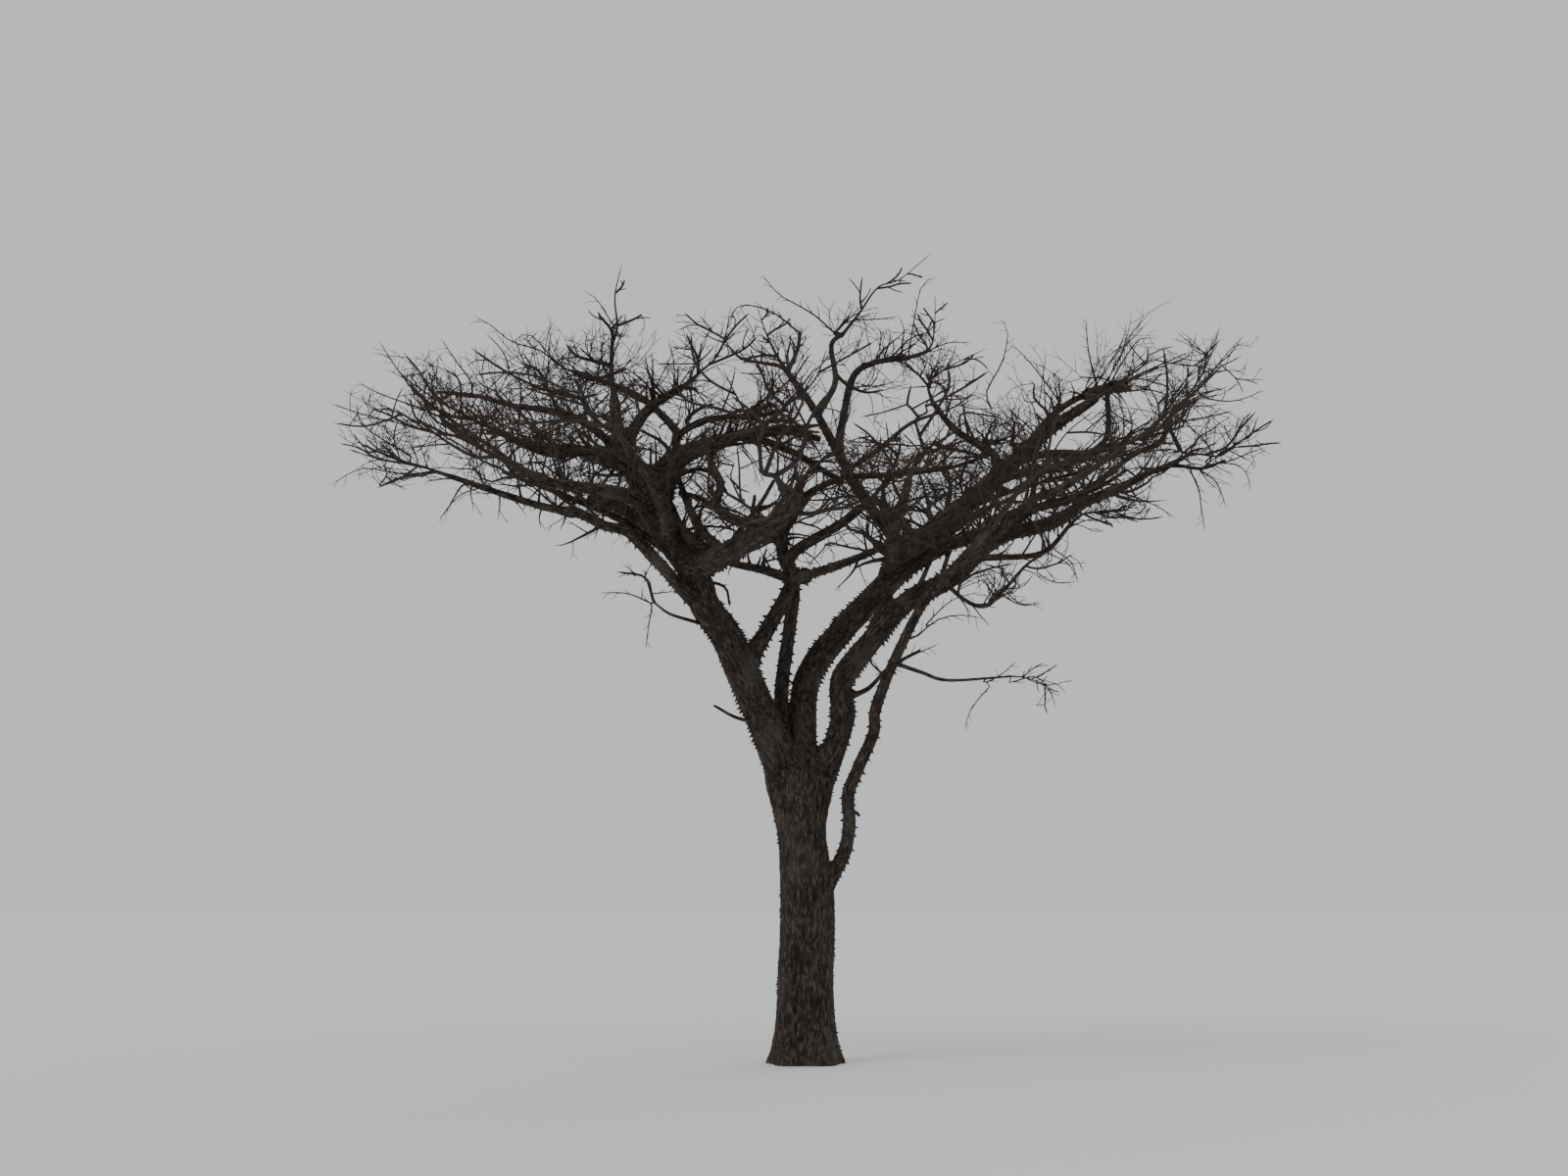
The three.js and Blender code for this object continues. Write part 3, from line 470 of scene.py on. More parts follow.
def spacedAt(guides, shares):  # the same curve by shares of its length, and that length
    t = np.linspace(0, 1, curveSamples)
    lengths = lengthsAlong(curveAt(guides, t))
    return curveAt(guides, np.interp(np.asarray(shares) * lengths[-1], lengths, t)), lengths[-1]


def limbRadius(limb, share):
    return (limb["base"] + (limb["tip"] - limb["base"]) * share ** limb.get("fullness", 1)) * cm


def layLimbs():
    for limb in limbs.values():
        guides = [np.array(p, float) * cm for p in limb["through"]]
        if "on" in limb:
            carrier, share = limb["on"]
            guides.insert(0, spacedAt(limbs[carrier]["guides"], [share])[0][0])
        limb["guides"] = np.array(guides)
        limb["length"] = spacedAt(limb["guides"], [0])[1]
        step = rule["limbStep"] + limb["base"] * rule["stepPerRadius"]
        steps = int(limb["length"] * 1000 / step + 0.5)
        steps = min(max(steps, rule["fewestSteps"]), rule["mostSteps"])
        limb["points"] = spacedAt(limb["guides"], np.linspace(0, 1, steps + 1))[0]
        limb["radii"] = limbRadius(limb, np.linspace(0, 1, steps + 1))


class Numbers:  # seeded numbers from 0 to 1, one stream for each seed
    def __init__(self, seeds):
        self.state = np.asarray(seeds, np.int64) % (modulus - 1) + 1

    def draw(self):
        self.state = self.state * multiplier % modulus
        return self.state / modulus


def childSeed(seed, index, attempt):
    return (seed * 1009 + index * 9176 + attempt * 733 + 1) % modulus


def gapBetween(a, b, c, d):  # the shortest way between stretches a to b and stretches c to d
    u, v, w = b - a, d - c, a - c
    uu, uv, vv = (u * u).sum(-1), (u * v).sum(-1), (v * v).sum(-1)
    uw, vw = (u * w).sum(-1), (v * w).sum(-1)
    slant = uu * vv - uv * uv
    parallel = 1e-15
    s = np.where(slant > parallel, np.clip((uv * vw - vv * uw) / np.maximum(slant, parallel), 0, 1), 0)
    t = np.clip((uv * s + vw) / vv, 0, 1)
    s = np.clip((uv * t - uw) / uu, 0, 1)
    return np.linalg.norm(w + u * s[..., None] - v * t[..., None], axis=-1)


def distanceToStretches(points, a, b):
    way = b - a
    share = np.clip(((points[:, None] - a) * way).sum(-1) / (way * way).sum(-1), 0, 1)
    return np.linalg.norm(points[:, None] - a - way * share[..., None], axis=-1)


def chunks(points, work, size=4000):
    return np.concatenate([work(points[i:i + size]) for i in range(0, len(points), size)])


# Each stem goes on the way its bough ends and bends over, a little crookedly, to its reach
def layStems():
    for i, mass in enumerate(masses.values()):
        points = limbs[mass["on"]]["points"]
        tip, way = points[-1], unit(points[-1] - points[-2])
        end = np.array(mass["reach"], float) * cm
        length = np.linalg.norm(end - tip)
        bend = tip + way * length * rule["stemBend"]
        steps = max(rule["fewestStemSteps"], int(length / rule["stemStep"] + 0.5))
        numbers = Numbers(rule["stemSeed"] + i * rule["stemSeedStep"])
        start = tip + way * rule["clearance"]
        line = []
        for k in range(steps + 1):
            t = k / steps
            sway = np.array([numbers.draw() - 0.5 for _ in range(3)])
            on = start * (1 - t) ** 2 + bend * 2 * t * (1 - t) + end * t * t
            line.append(on + sway * (length * rule["stemSway"] if 1 < k < steps else 0))
        base = limbs[mass["on"]]["tip"] * cm * rule["stemBase"]
        taper = (np.arange(steps + 1) / steps) ** rule["stemTaper"]
        mass["stem"] = np.array(line)
        mass["radii"] = base + (rule["stemTip"] - base) * taper
    stems = [mass["stem"] for mass in masses.values()]
    return {
        "a": np.concatenate([stem[:-1] for stem in stems]),
        "b": np.concatenate([stem[1:] for stem in stems]),
        "first": np.concatenate([[0], np.cumsum([len(stem) - 1 for stem in stems])[:-1]]),
    }


# True where points are in the space of mass number which and, by margin, nearer to its stem than to others
def inSpace(stems, which, points, margin):
    mass = list(masses.values())[which]
    a, b = mass["stem"][0], mass["stem"][-1]
    share = np.clip(((points - a) @ (b - a)) / ((b - a) @ (b - a)), 0, 1)
    off = points - a - (b - a) * share[:, None]
    slim = 1 - mass.get("narrowing", rule["narrowing"]) * share
    wide, deep = mass["spread"] * cm * slim, mass["deep"] * cm * slim
    inside = (off[:, 0] ** 2 + off[:, 1] ** 2) / wide ** 2 + off[:, 2] ** 2 / deep ** 2 <= 1
    away = distanceToStretches(points, stems["a"], stems["b"])
    reached = np.minimum.reduceat(away, stems["first"], axis=1)
    own = reached[:, which] + margin
    reached[:, which] = np.inf
    return inside & (reached.min(1) > own)


def along(points, share):
    place = share * (len(points) - 1)
    index = min(int(place), len(points) - 2)
    step = points[index + 1] - points[index]
    return points[index] + step * (place - index), unit(step)


def shootShare(index):  # how far along its parent a shoot leaves
    return rule["firstShoot"] + rule["shootRange"] * ((index + 1) * rule["golden"] % 1)


def shootLine(parent, index, level, seed, turn):
    numbers = Numbers(seed)
    share = shootShare(index)
    at, way = along(parent["points"], share)
    side = unit(np.cross(way, up))
    above = np.cross(side, way)
    roll = index * rule["goldenTurn"] + turn + (numbers.draw() - 0.5)
    mix = numbers.draw()
    lean = (1 - mix) * level["lean"][0] + mix * level["lean"][1]
    heading = way * np.cos(lean) + side * np.sin(lean) * np.cos(roll) + above * np.sin(lean) * np.sin(roll)
    heading[2] *= rule["flatten"]
    heading = unit(heading)
    rise = np.sign(heading[2]) * rule["curl"]
    room = parent["room"] * (1 - parent["narrowing"] * share)
    length = room * level["reach"] * (rule["shortest"] + rule["lengthRange"] * numbers.draw())
    points = [at]
    for _ in range(level["steps"]):
        turned = [numbers.draw() - 0.5 for _ in range(3)]
        heading = unit(heading + level["crook"] * np.array(turned) * rule["crookScale"] + [0, 0, rise])
        points.append(points[-1] + heading * length / level["steps"])
    here = (1 - share) * parent["radii"][0] + share * parent["radii"][-1]
    return {"points": np.array(points), "base": here * rule["slimming"], "room": length, "share": share,
            "narrowing": rule["narrowing"], "parent": parent, "seed": seed}


def fits(tree, which, shoot, kept):
    a, b = shoot["points"][:-1], shoot["points"][1:]
    if not inSpace(tree["stems"], which, np.concatenate([b, (a + b) / 2]), rule["margin"]).all():
        return False
    gap = gapBetween(a[:, None], b[:, None], tree["limbA"][None], tree["limbB"][None])
    if (gap < tree["limbRadius"] + shoot["base"] + rule["limbGap"]).any():
        return False
    for other in kept:
        start = 1 if other is shoot["parent"] else 0
        c, d = other["points"][:-1], other["points"][1:]
        gap = gapBetween(a[start:, None], b[start:, None], c[None], d[None])
        if (gap < shoot["base"] + other["radii"][:-1]).any():
            return False
    return True


def growShoots(tree, which, parent, depth, seed, kept):
    if depth == len(rule["levels"]):
        return
    level = rule["levels"][depth]
    mass = list(masses.values())[which]
    count = mass.get("shoots", level["count"]) if depth == 0 else level["count"]
    for index in range(count):
        for attempt in range(rule["tries"]):
            own = childSeed(seed, index, attempt)
            shoot = shootLine(parent, index, level, own, attempt * rule["retryTurn"])
            if not fits(tree, which, shoot, kept):
                continue
            tip = min(level["tip"], shoot["base"] * rule["tipShare"])
            taper = np.linspace(0, 1, level["steps"] + 1)
            shoot["radii"] = shoot["base"] + (tip - shoot["base"]) * taper
            shoot["depth"] = depth + 1
            kept.append(shoot)
            growShoots(tree, which, shoot, depth + 1, own, kept)
            break


def layTree():  # the stems and the two levels of shoots that the solids have
    layLimbs()
    tree = {
        "stems": layStems(),
        "limbA": np.concatenate([limb["points"][:-1] for limb in limbs.values()]),
        "limbB": np.concatenate([limb["points"][1:] for limb in limbs.values()]),
        "limbRadius": np.concatenate([limb["radii"][:-1] for limb in limbs.values()]),
    }
    past = np.linspace(carrying["rootFrom"], 1, carrying["rootSteps"])
    laidOn(innerBoughs, np.concatenate([spacedAt(limb["guides"], past)[0] for limb in limbs.values()]),
           drawnPoints["innerBoughs"])
    for i, mass in enumerate(masses.values()):
        seed = rule["massSeed"] + i * rule["massSeedStep"]
        stem = {"points": mass["stem"], "radii": mass["radii"], "room": mass["spread"] * cm, "depth": 0,
                "narrowing": mass.get("narrowing", rule["narrowing"]), "seed": seed}
        mass["kept"] = [stem]
        growShoots(tree, i, stem, 0, seed, mass["kept"])
    return tree


# What a shoot keeps to where it belongs to no mass: the crown, or nothing. The low mass is below the crown.
inside, anywhere = -1, -2
lowMass = list(masses).index("low_twigs")

# Finer shoots, which go on from the ones that the solids have. first is the number of the first new shoot of
# a parent, spacing is how far apart they leave it, least is the thinnest one's base radius, and sunk is how
# far below the crown's top they stay. arc bends a shoot one way, and keepsOpen keeps it out of the openings.
finer = {
    "stems": {"keepsOpen": True, "first": 5, "count": 4, "steps": 5, "reach": 0.9, "lean": (0.5, 1.3),
              "tip": 0.007, "crook": 0.7, "slimming": 0.62, "least": 0.012, "flatten": 0.45, "lift": 0.06,
              "sunk": 0.3},
    "limbs": {"keepsOpen": True, "first": 0, "most": 30, "spacing": 0.42, "steps": 7, "reach": 1.2,
              "lean": (0.6, 1.35), "tip": 0.006, "crook": 0.7, "slimming": 0.38, "least": 0.0125,
              "flatten": 0.4, "lift": 0.08, "sunk": 0.3},
    "side": {"keepsOpen": True, "first": 2, "most": 12, "spacing": 0.58, "steps": 4, "reach": 0.5,
             "lean": (0.6, 1.3), "tip": 0.0036, "crook": 0.75, "slimming": 0.5, "least": 0.0054,
             "flatten": 0.5, "lift": 0.06, "sunk": 0.12},
    "rim": {"keepsOpen": True, "high": True, "first": 40, "count": 4, "steps": 5, "reach": 0.72,
            "lean": (0.3, 1.2), "tip": 0.0028, "crook": 0.3, "arc": 0.5, "slimming": 0.4, "least": 0.0046,
            "flatten": 1, "lift": 0.1, "sunk": -0.2},
    "hanging": {"first": 60, "most": 6, "spacing": 0.4, "steps": 4, "reach": 0.34, "lean": (0.8, 1.4),
                "tip": 0.0026, "crook": 0.35, "arc": 0.3, "slimming": 0.3, "least": 0.0044, "flatten": 0.5,
                "lift": -0.45, "sunk": 0},
    "twig": {"first": 0, "most": 6, "spacing": 0.34, "steps": 3, "reach": 0.66, "lean": (0.6, 1.3),
             "tip": 0.0026, "crook": 0.35, "arc": 0.45, "slimming": 0.6, "least": 0.0044, "flatten": 0.9,
             "lift": 0.04, "sunk": -0.1},
    "fan": {"first": 0, "count": 16, "steps": 4, "reach": 1, "lean": (0.3, 1.5), "tip": 0.0028,
            "crook": 0.35, "arc": 0.5, "slimming": 0.3, "least": 0.005, "flatten": 0.9, "lift": 0.25,
            "sunk": -0.3},
    "spine": {"first": 0, "most": 8, "spacing": 0.1, "steps": 2, "reach": 1, "lean": (0.5, 1.1),
              "tip": 0.0024, "crook": 0.35, "slimming": 0.7, "least": 0.0034, "flatten": 1, "lift": 0.02,
              "sunk": -0.1},
    "spur": {"first": 0, "most": 2, "spacing": 0.3, "steps": 2, "reach": 0.45, "lean": (0.7, 1.2),
             "tip": 0.0024, "crook": 0.4, "slimming": 0.7, "least": 0.0034, "flatten": 1, "lift": 0,
             "sunk": -0.1},
}
finer["sideOnNew"] = {**finer["side"], "first": 0}
finer["sideOnStems"] = {**finer["side"], "first": 20, "count": 3, "reach": 0.36}
finer["crest"] = {**finer["rim"], "count": 8, "reach": 0.6}

# overlap is how far two masses' finer shoots may mix, and a drop is how far one may go below its root
spread = {"tries": 4, "overlap": 0.14, "noDrop": 9, "limbShootDrop": 0.12, "hangingDrop": 0.5,
          "thickest": 0.95, "rootPull": 0.3}
stemLook = {"bend": 0.45, "slimBends": {"middle_twigs": 0.2, "right_mid_twigs": 0.28}, "slimFirsts": 0.6,
            "end": 0.0035}
# Where the limbs start to carry shoots of their own, in metres and in steps of their length, and where the
# inner boughs may leave them
carrying = {"steps": 32, "innerStart": 4, "boughStart": 8, "lastStart": 29, "guides": 13, "room": 0.92,
            "narrowing": 0.1, "bareBelow": 4.6, "bareNear": 0.75, "rootFrom": 0.1, "rootSteps": 30,
            "bare": ("bridge_bough", "low_twig_bough", "left_twig_bough", "dead_stub", "weld", "tie_low",
                     "tie_high", "knob")}
# The first number of each kind's seeds, and of its sprays, which share a colour
firstSeeds = {"limbs": 9001, "longTwigs": 7001, "knots": 8001}
seedStep = 57
sprays = {"step": 100, "limbs": 5000, "thin": 9000, "new": 20, "deal": 7}
drawnPoints = {"innerBoughs": 9, "stems": 25, "firsts": 10, "seconds": 7, "twigs": 5, "spurs": 3}

# The crown that the finer shoots keep to, in metres: its underside rises from the fork, its top is flat and
# a little lower towards the front, and it is as wide as its furthest boughs.
crown = {"middle": (-0.1, 0.1), "reach": 4.6, "underside": 4.4, "underRise": 0.27, "riseFrom": 0.7,
         "underTilt": 0.09, "top": 7.2, "topTilt": 0.2, "highest": 7.4, "dome": 0.2, "domeReach": 4.4}


def inCrown(p, sunk):
    out = np.linalg.norm(p[..., :2] - crown["middle"], axis=-1)
    low = crown["underside"] + crown["underRise"] * np.maximum(out - crown["riseFrom"], 0)
    low = low + crown["underTilt"] * p[..., 1]
    high = np.minimum(crown["top"] + crown["topTilt"] * p[..., 1], crown["highest"])
    high = high - crown["dome"] * (out / crown["domeReach"]) ** 2
    return (p[..., 2] > low) & (p[..., 2] < high - sunk) & (out < crown["reach"])


# The openings through the crown that show as sky from the front: the middle of each across and up, and its
# half width and half height, in centimetres on the plane through the trunk
openings = [(-57, 564, 34, 25), (69, 632, 24, 32), (-78, 662, 38, 22), (188, 690, 34, 34),
            (-138, 640, 14, 14), (275, 640, 14, 12), (10, 628, 18, 20), (110, 635, 29, 33),
            (268, 609, 29, 16), (354, 683, 25, 23), (-408, 653, 17, 15), (334, 627, 15, 10),
            (337, 651, 19, 9), (256, 604, 19, 8)]


def inOpening(p):
    eye = np.array(stage["eye"])
    seen = eye + (p - eye) * (-eye[1] / (p[..., 1:2] - eye[1]))
    found = np.zeros(p.shape[:-1], bool)
    for across, height, wide, tall in openings:
        found |= ((seen[..., 0] / cm - across) / wide) ** 2 + ((seen[..., 2] / cm - height) / tall) ** 2 < 1
    return found


def smoothLine(line, count):
    return curveAt(line, np.linspace(0, 1, count))


def batch(points, radii, room, narrowing, seed, mass, spray):
    return {"points": points, "radii": radii, "room": np.asarray(room, float),
            "narrowing": np.asarray(narrowing, float), "seed": np.asarray(seed, np.int64),
            "mass": np.asarray(mass, int), "spray": np.asarray(spray, int)}


# The lines of a table's boughs or twigs, each drawn over at its root to the nearest of the carriers' points
def laidOn(table, carriers, count):
    for row in table.values():
        guides = np.array(row["through"], float) * cm
        root = carriers[np.linalg.norm(carriers - guides[0], axis=1).argmin()]
        fade = np.linspace(1, 0, len(guides))[:, None] ** 2
        drawnOver = guides + (root - guides[0]) * fade * spread["rootPull"]
        row["guides"] = np.concatenate([[root], drawnOver])
        row["length"] = spacedAt(row["guides"], [0])[1]
        row["points"] = spacedAt(row["guides"], np.linspace(0, 1, count))[0]
        row["radii"] = limbRadius(row, np.linspace(0, 1, count))
        carriers = np.concatenate([carriers, row["points"]])


def joined(*batches):
    return {key: np.concatenate([b[key] for b in batches]) for key in batches[0]}


def columns(rows):  # rows of values as one batch
    return batch(*[np.array(column) for column in zip(*rows)])


def drawnTree():  # the solids' stems and shoots as smooth lines, by generation
    rows = {"stems": [], "firsts": [], "seconds": []}
    for i, (name, mass) in enumerate(masses.items()):
        stem = mass["kept"][0]
        stem["drawn"] = smoothLine(stem["points"], drawnPoints["stems"])
        share = np.linspace(0, 1, drawnPoints["stems"])
        bend = stemLook["slimBends"].get(name, stemLook["bend"])
        radii = stem["radii"][0] + (stemLook["end"] - stem["radii"][0]) * share ** bend
        firstSpray = i * sprays["step"]
        rows["stems"].append((stem["drawn"], radii, stem["room"], stem["narrowing"], stem["seed"], i,
                              firstSpray))
        for number, shoot in enumerate(mass["kept"][1:]):
            kind = "firsts" if shoot["depth"] == 1 else "seconds"
            line = shoot["points"].copy()
            line[0] = along(shoot["parent"]["drawn"], shoot["share"])[0]
            shoot["drawn"] = smoothLine(line, drawnPoints[kind])
            shoot["spray"] = firstSpray + number if kind == "firsts" else shoot["parent"]["spray"]
            slim = stemLook["slimFirsts"] if kind == "firsts" and name in stemLook["slimBends"] else 1
            radii = np.linspace(shoot["radii"][0], shoot["radii"][-1], drawnPoints[kind]) * slim
            rows[kind].append((shoot["drawn"], radii, shoot["room"], shoot["narrowing"], shoot["seed"], i,
                               shoot["spray"]))
    return [columns(rows[kind]) for kind in rows]


def firstCarrying(name, limb, line):  # the step of a limb's length where it starts to carry shoots
    if name not in limbs:
        return carrying["innerStart"]
    bare = line[:, 2] < carrying["bareBelow"]
    bare |= np.linalg.norm(line[:, :2], axis=1) < carrying["bareNear"]
    start = int(bare.nonzero()[0].max() + 1) if bare.any() else 0
    return max(start, carrying["boughStart"] if "on" in limb else 0)


def limbParents():  # the outer parts of the limbs and the inner boughs, which carry shoots of their own
    rows = []
    steps = carrying["steps"]
    whole = np.arange(steps + 1)
    for number, (name, limb) in enumerate({**limbs, **innerBoughs}.items()):
        line = spacedAt(limb["guides"], whole / steps)[0]
        start = firstCarrying(name, limb, line)
        if name in carrying["bare"] or start > carrying["lastStart"]:
            continue
        part = np.linspace(start, steps, carrying["guides"])
        line = np.stack([np.interp(part, whole, line[:, k]) for k in range(3)], axis=1)
        drawn = np.linspace(start, steps, drawnPoints["stems"])
        radii = np.interp(drawn, whole, limbRadius(limb, whole / steps))
        room = limb["room"] * cm if "room" in limb else carrying["room"]
        rows.append((smoothLine(line, drawnPoints["stems"]), radii, room, carrying["narrowing"],
                     firstSeeds["limbs"] + number * seedStep, anywhere if limb.get("free") else inside,
                     sprays["limbs"] + number * sprays["step"]))
    return columns(rows)


def thinParents(table, firstSeed):  # long thin twigs or knots, which belong to no mass
    return columns([(twig["points"], twig["radii"], twig["room"] * cm, carrying["narrowing"],
                     firstSeed + number * seedStep, anywhere, sprays["thin"] + number * sprays["step"])
                    for number, twig in enumerate(table.values())])


# True for each line that stays in its mass's space and the crown, clear of the limbs, and doesn't hang
def allowed(tree, lines, base, mass, drop, level):
    tests = lines[:, 1:]
    flat = tests.reshape(-1, 3)
    gap = chunks(flat, lambda p: (distanceToStretches(p, tree["limbA"], tree["limbB"])
                                  - tree["limbRadius"]).min(1)).reshape(len(lines), -1)
    good = (gap > base[:, None] + rule["limbGap"]).all(1)
    good &= (tests[..., 2] > lines[:, :1, 2] - drop).all(1)
    exempt = (mass == anywhere) | ((mass == lowMass) & ("high" not in level))
    good &= inCrown(tests, level["sunk"]).all(1) | exempt
    if "keepsOpen" in level:
        good &= ~inOpening(tests).any(1)
    for which in np.unique(mass[mass >= 0]):
        rows = np.nonzero((mass == which) & good)[0]
        if len(rows):
            points = tests[rows].reshape(-1, 3)
            within = chunks(points, lambda p: inSpace(tree["stems"], which, p, -spread["overlap"]))
            good[rows] &= within.reshape(len(rows), -1).all(1)
    return good


def shootLines(parents, rows, index, level, seeds, turn):  # shootLine for many shoots at once
    numbers = Numbers(seeds)
    share = shootShare(index)
    line = parents["points"][rows]
    place = share * (line.shape[1] - 1)
    low = np.minimum(place.astype(int), line.shape[1] - 2)
    each = np.arange(len(rows))
    here, after = line[each, low], line[each, low + 1]
    way = unit(after - here)
    side = unit(np.cross(way, up) + 1e-9)
    above = np.cross(side, way)
    roll = index * rule["goldenTurn"] + turn + (numbers.draw() - 0.5)
    mix = numbers.draw()
    lean = (1 - mix) * level["lean"][0] + mix * level["lean"][1]
    heading = (way * np.cos(lean)[:, None] + side * (np.sin(lean) * np.cos(roll))[:, None]
               + above * (np.sin(lean) * np.sin(roll))[:, None])
    heading[:, 2] = heading[:, 2] * level["flatten"] + level["lift"]
    heading = unit(heading)
    rise = np.sign(heading[:, 2]) * rule["curl"]
    arc = np.stack([numbers.draw() - 0.5 for _ in range(3)], axis=1) * level.get("arc", 0)
    room = parents["room"][rows] * (1 - parents["narrowing"][rows] * share)
    length = room * level["reach"] * (rule["shortest"] + rule["lengthRange"] * numbers.draw())
    points = [here + (after - here) * (place - low)[:, None]]
    for _ in range(level["steps"]):
        turned = np.stack([numbers.draw() - 0.5 for _ in range(3)], axis=1)
        heading = heading + level["crook"] * turned * rule["crookScale"] + arc
        heading[:, 2] += rise
        heading = unit(heading)
        points.append(points[-1] + heading * (length / level["steps"])[:, None])
    radii = parents["radii"][rows]
    thick = radii[each, low] + (radii[each, low + 1] - radii[each, low]) * (place - low)
    base = np.minimum(np.maximum(thick * level["slimming"], level["least"]), thick * spread["thickest"])
    return np.stack(points, axis=1), base, length


# The shoots of one level on many parents at once. counts says how many each parent has.
def sprout(tree, parents, counts, level, drawn, drop=spread["noDrop"], newSprays=False):
    rows = np.repeat(np.arange(len(counts)), counts)
    index = np.concatenate([np.arange(count) for count in counts]) + level["first"]
    waiting = np.arange(len(rows))
    made = []
    for attempt in range(spread["tries"]):
        r, i = rows[waiting], index[waiting]
        seeds = childSeed(parents["seed"][r], i, attempt)
        lines, base, length = shootLines(parents, r, i, level, seeds, attempt * rule["retryTurn"])
        good = allowed(tree, lines, base, parents["mass"][r], drop, level)
        keep = np.nonzero(good)[0]
        tip = np.minimum(level["tip"], base[keep] * rule["tipShare"])
        radii = base[keep][:, None] + (tip - base[keep])[:, None] * np.linspace(0, 1, drawn)
        spray = parents["spray"][r[keep]] + (sprays["new"] + i[keep] if newSprays else 0)
        narrowing = np.full(len(keep), rule["narrowing"])
        made.append(batch(smoothLine(lines[keep], drawn), radii, length[keep], narrowing, seeds[keep],
                          parents["mass"][r[keep]], spray))
        waiting = waiting[~good]
        if len(waiting) == 0:
            break
    return joined(*made)


def spacedCounts(parents, level, less=0):  # how many shoots fit along each parent at the level's spacing
    lengths = np.linalg.norm(np.diff(parents["points"], axis=1), axis=2).sum(1)
    return np.clip(np.round(lengths / level["spacing"]).astype(int) - less, 0, level["most"])


def filled(parents, value):
    return np.full(len(parents["seed"]), value)


def growFirsts(tree, stems, outer):  # new shoots on the stems and the limbs
    drawn = drawnPoints["firsts"]
    level = finer["stems"]
    onStems = sprout(tree, stems, filled(stems, level["count"]), level, drawn, newSprays=True)
    level = finer["limbs"]
    onLimbs = sprout(tree, outer, spacedCounts(outer, level), level, drawn, drop=spread["limbShootDrop"],
                     newSprays=True)
    return joined(onStems, onLimbs)


def growTwigs(tree):
    stems, firsts, seconds = drawnTree()
    outer = limbParents()
    newFirsts = growFirsts(tree, stems, outer)
    carriers = [shoots["points"].reshape(-1, 3) for shoots in (stems, firsts, newFirsts)]
    carriers += [limb["points"] for limb in (*limbs.values(), *innerBoughs.values())]
    laidOn(longTwigs, np.concatenate(carriers), drawnPoints["firsts"])
    laidOn(knots, np.concatenate(carriers), drawnPoints["firsts"])
    longest = thinParents(longTwigs, firstSeeds["longTwigs"])
    bunched = thinParents(knots, firstSeeds["knots"])

    def counted(kind, parents):
        level = finer[kind]
        return sprout(tree, parents, filled(parents, level["count"]), level, drawnPoints["seconds"])

    def spacedOut(kind, parents, drawn, less=0, drop=spread["noDrop"]):
        level = finer[kind]
        counts = spacedCounts(parents, level, less)
        return sprout(tree, parents, counts, level, drawnPoints[drawn], drop=drop)

    loose = {**outer, "mass": filled(outer, anywhere)}
    allSeconds = joined(
        seconds,
        spacedOut("side", firsts, "seconds", less=1),
        spacedOut("sideOnNew", newFirsts, "seconds"),
        counted("sideOnStems", stems),
        counted("rim", joined(firsts, newFirsts)),
        counted("crest", joined(stems, outer)),
        spacedOut("hanging", loose, "seconds", drop=spread["hangingDrop"]),
        counted("fan", bunched))
    spines = spacedOut("spine", longest, "twigs")
    twigs = spacedOut("twig", allSeconds, "twigs")
    spurs = spacedOut("spur", twigs, "spurs")
    return {"stems": stems, "firsts": joined(firsts, newFirsts, longest, bunched), "seconds": allSeconds,
            "twigs": joined(twigs, spines), "spurs": spurs}


# The skin over the trunk and boughs, in metres. A collar is how much stouter a bough is where it leaves its
# carrier.
skin = {
    "trunkSides": 60, "trunkRings": 70, "limbSides": 20, "ringStep": 0.04, "belowGround": 0.06,
    "collar": 0.4, "innerCollar": 0.1, "swelling": 0.07, "swellLength": 0.22, "swellShift": 3.7,
    "swellFade": 6, "limbVoxel": 0.0136, "boughVoxel": 0.0138, "thinVoxel": 0.0072, "smoothRounds": 5,
    "smoothing": 0.5,
    "trunkTop": 3.3, "foot": 0.0005, "trunkReach": 0.3, "trunkHold": 0.02,
}
trunkShape = {
    "height": 3.02, "fork": 2.78, "girth": 0.262, "flare": 0.105, "flareHeight": 0.23, "ridges": 5,
    "ridge": 0.1, "ridgeHeight": 0.37, "waist": 2.13, "pinch": 0.03, "pinchLength": 0.42, "spread": 0.085,
    "thinning": 0.073, "topPinch": 0.25, "topThinning": 0.4,
    "through": [[0, 0, 0], [0, 0, 75], [2, 0, 151], [-4, 0, 226], [-6, 0, 302]],
}
# The bark's relief: how far ridges and plates stand out, and how closely they lie across and along the grain
barkRelief = {"depth": 0.006, "trunkDepth": 0.011, "ridges": (26, 26, 6), "plates": (40, 40, 17),
              "fractal": (0.9, 2.1, 3, 1, 2), "middle": 1, "range": 1.2, "plateShare": 0.5, "fullGirth": 0.1,
              "leastShare": 0.25, "footFrom": -0.01, "footTo": 0.05}
# The grain is sampled along each limb, and shifted from limb to limb
grainSteps = {"samples": 81, "shift": 1.7, "start": 2}
thinBoughs = ("top_tall_bough", "right_low_bough", "bridge_bough", "low_twig_bough", "left_twig_bough",
              "dead_stub", "loop", "rim_low", "mid_rise", "fork_left", "fork_up", "short_rise",
              "short_left", "fork_low", "fork_high", "knob", "tie_low", "tie_high")
leftBoughs = ("left_limb", "centre_limb", "diagonal_limb", "cross_bough", "left_low_bough",
              "left_mid_bough", "left_far_bough", "left_front_bough", "left_back_bough",
              "left_inner_bough", "left_rise_bough", "band_bough", "reaching_bough")
boughs = {**limbs, **innerBoughs}


def smoothStep(x, low, high):
    share = np.clip((x - low) / (high - low), 0, 1)
    return share * share * (3 - 2 * share)


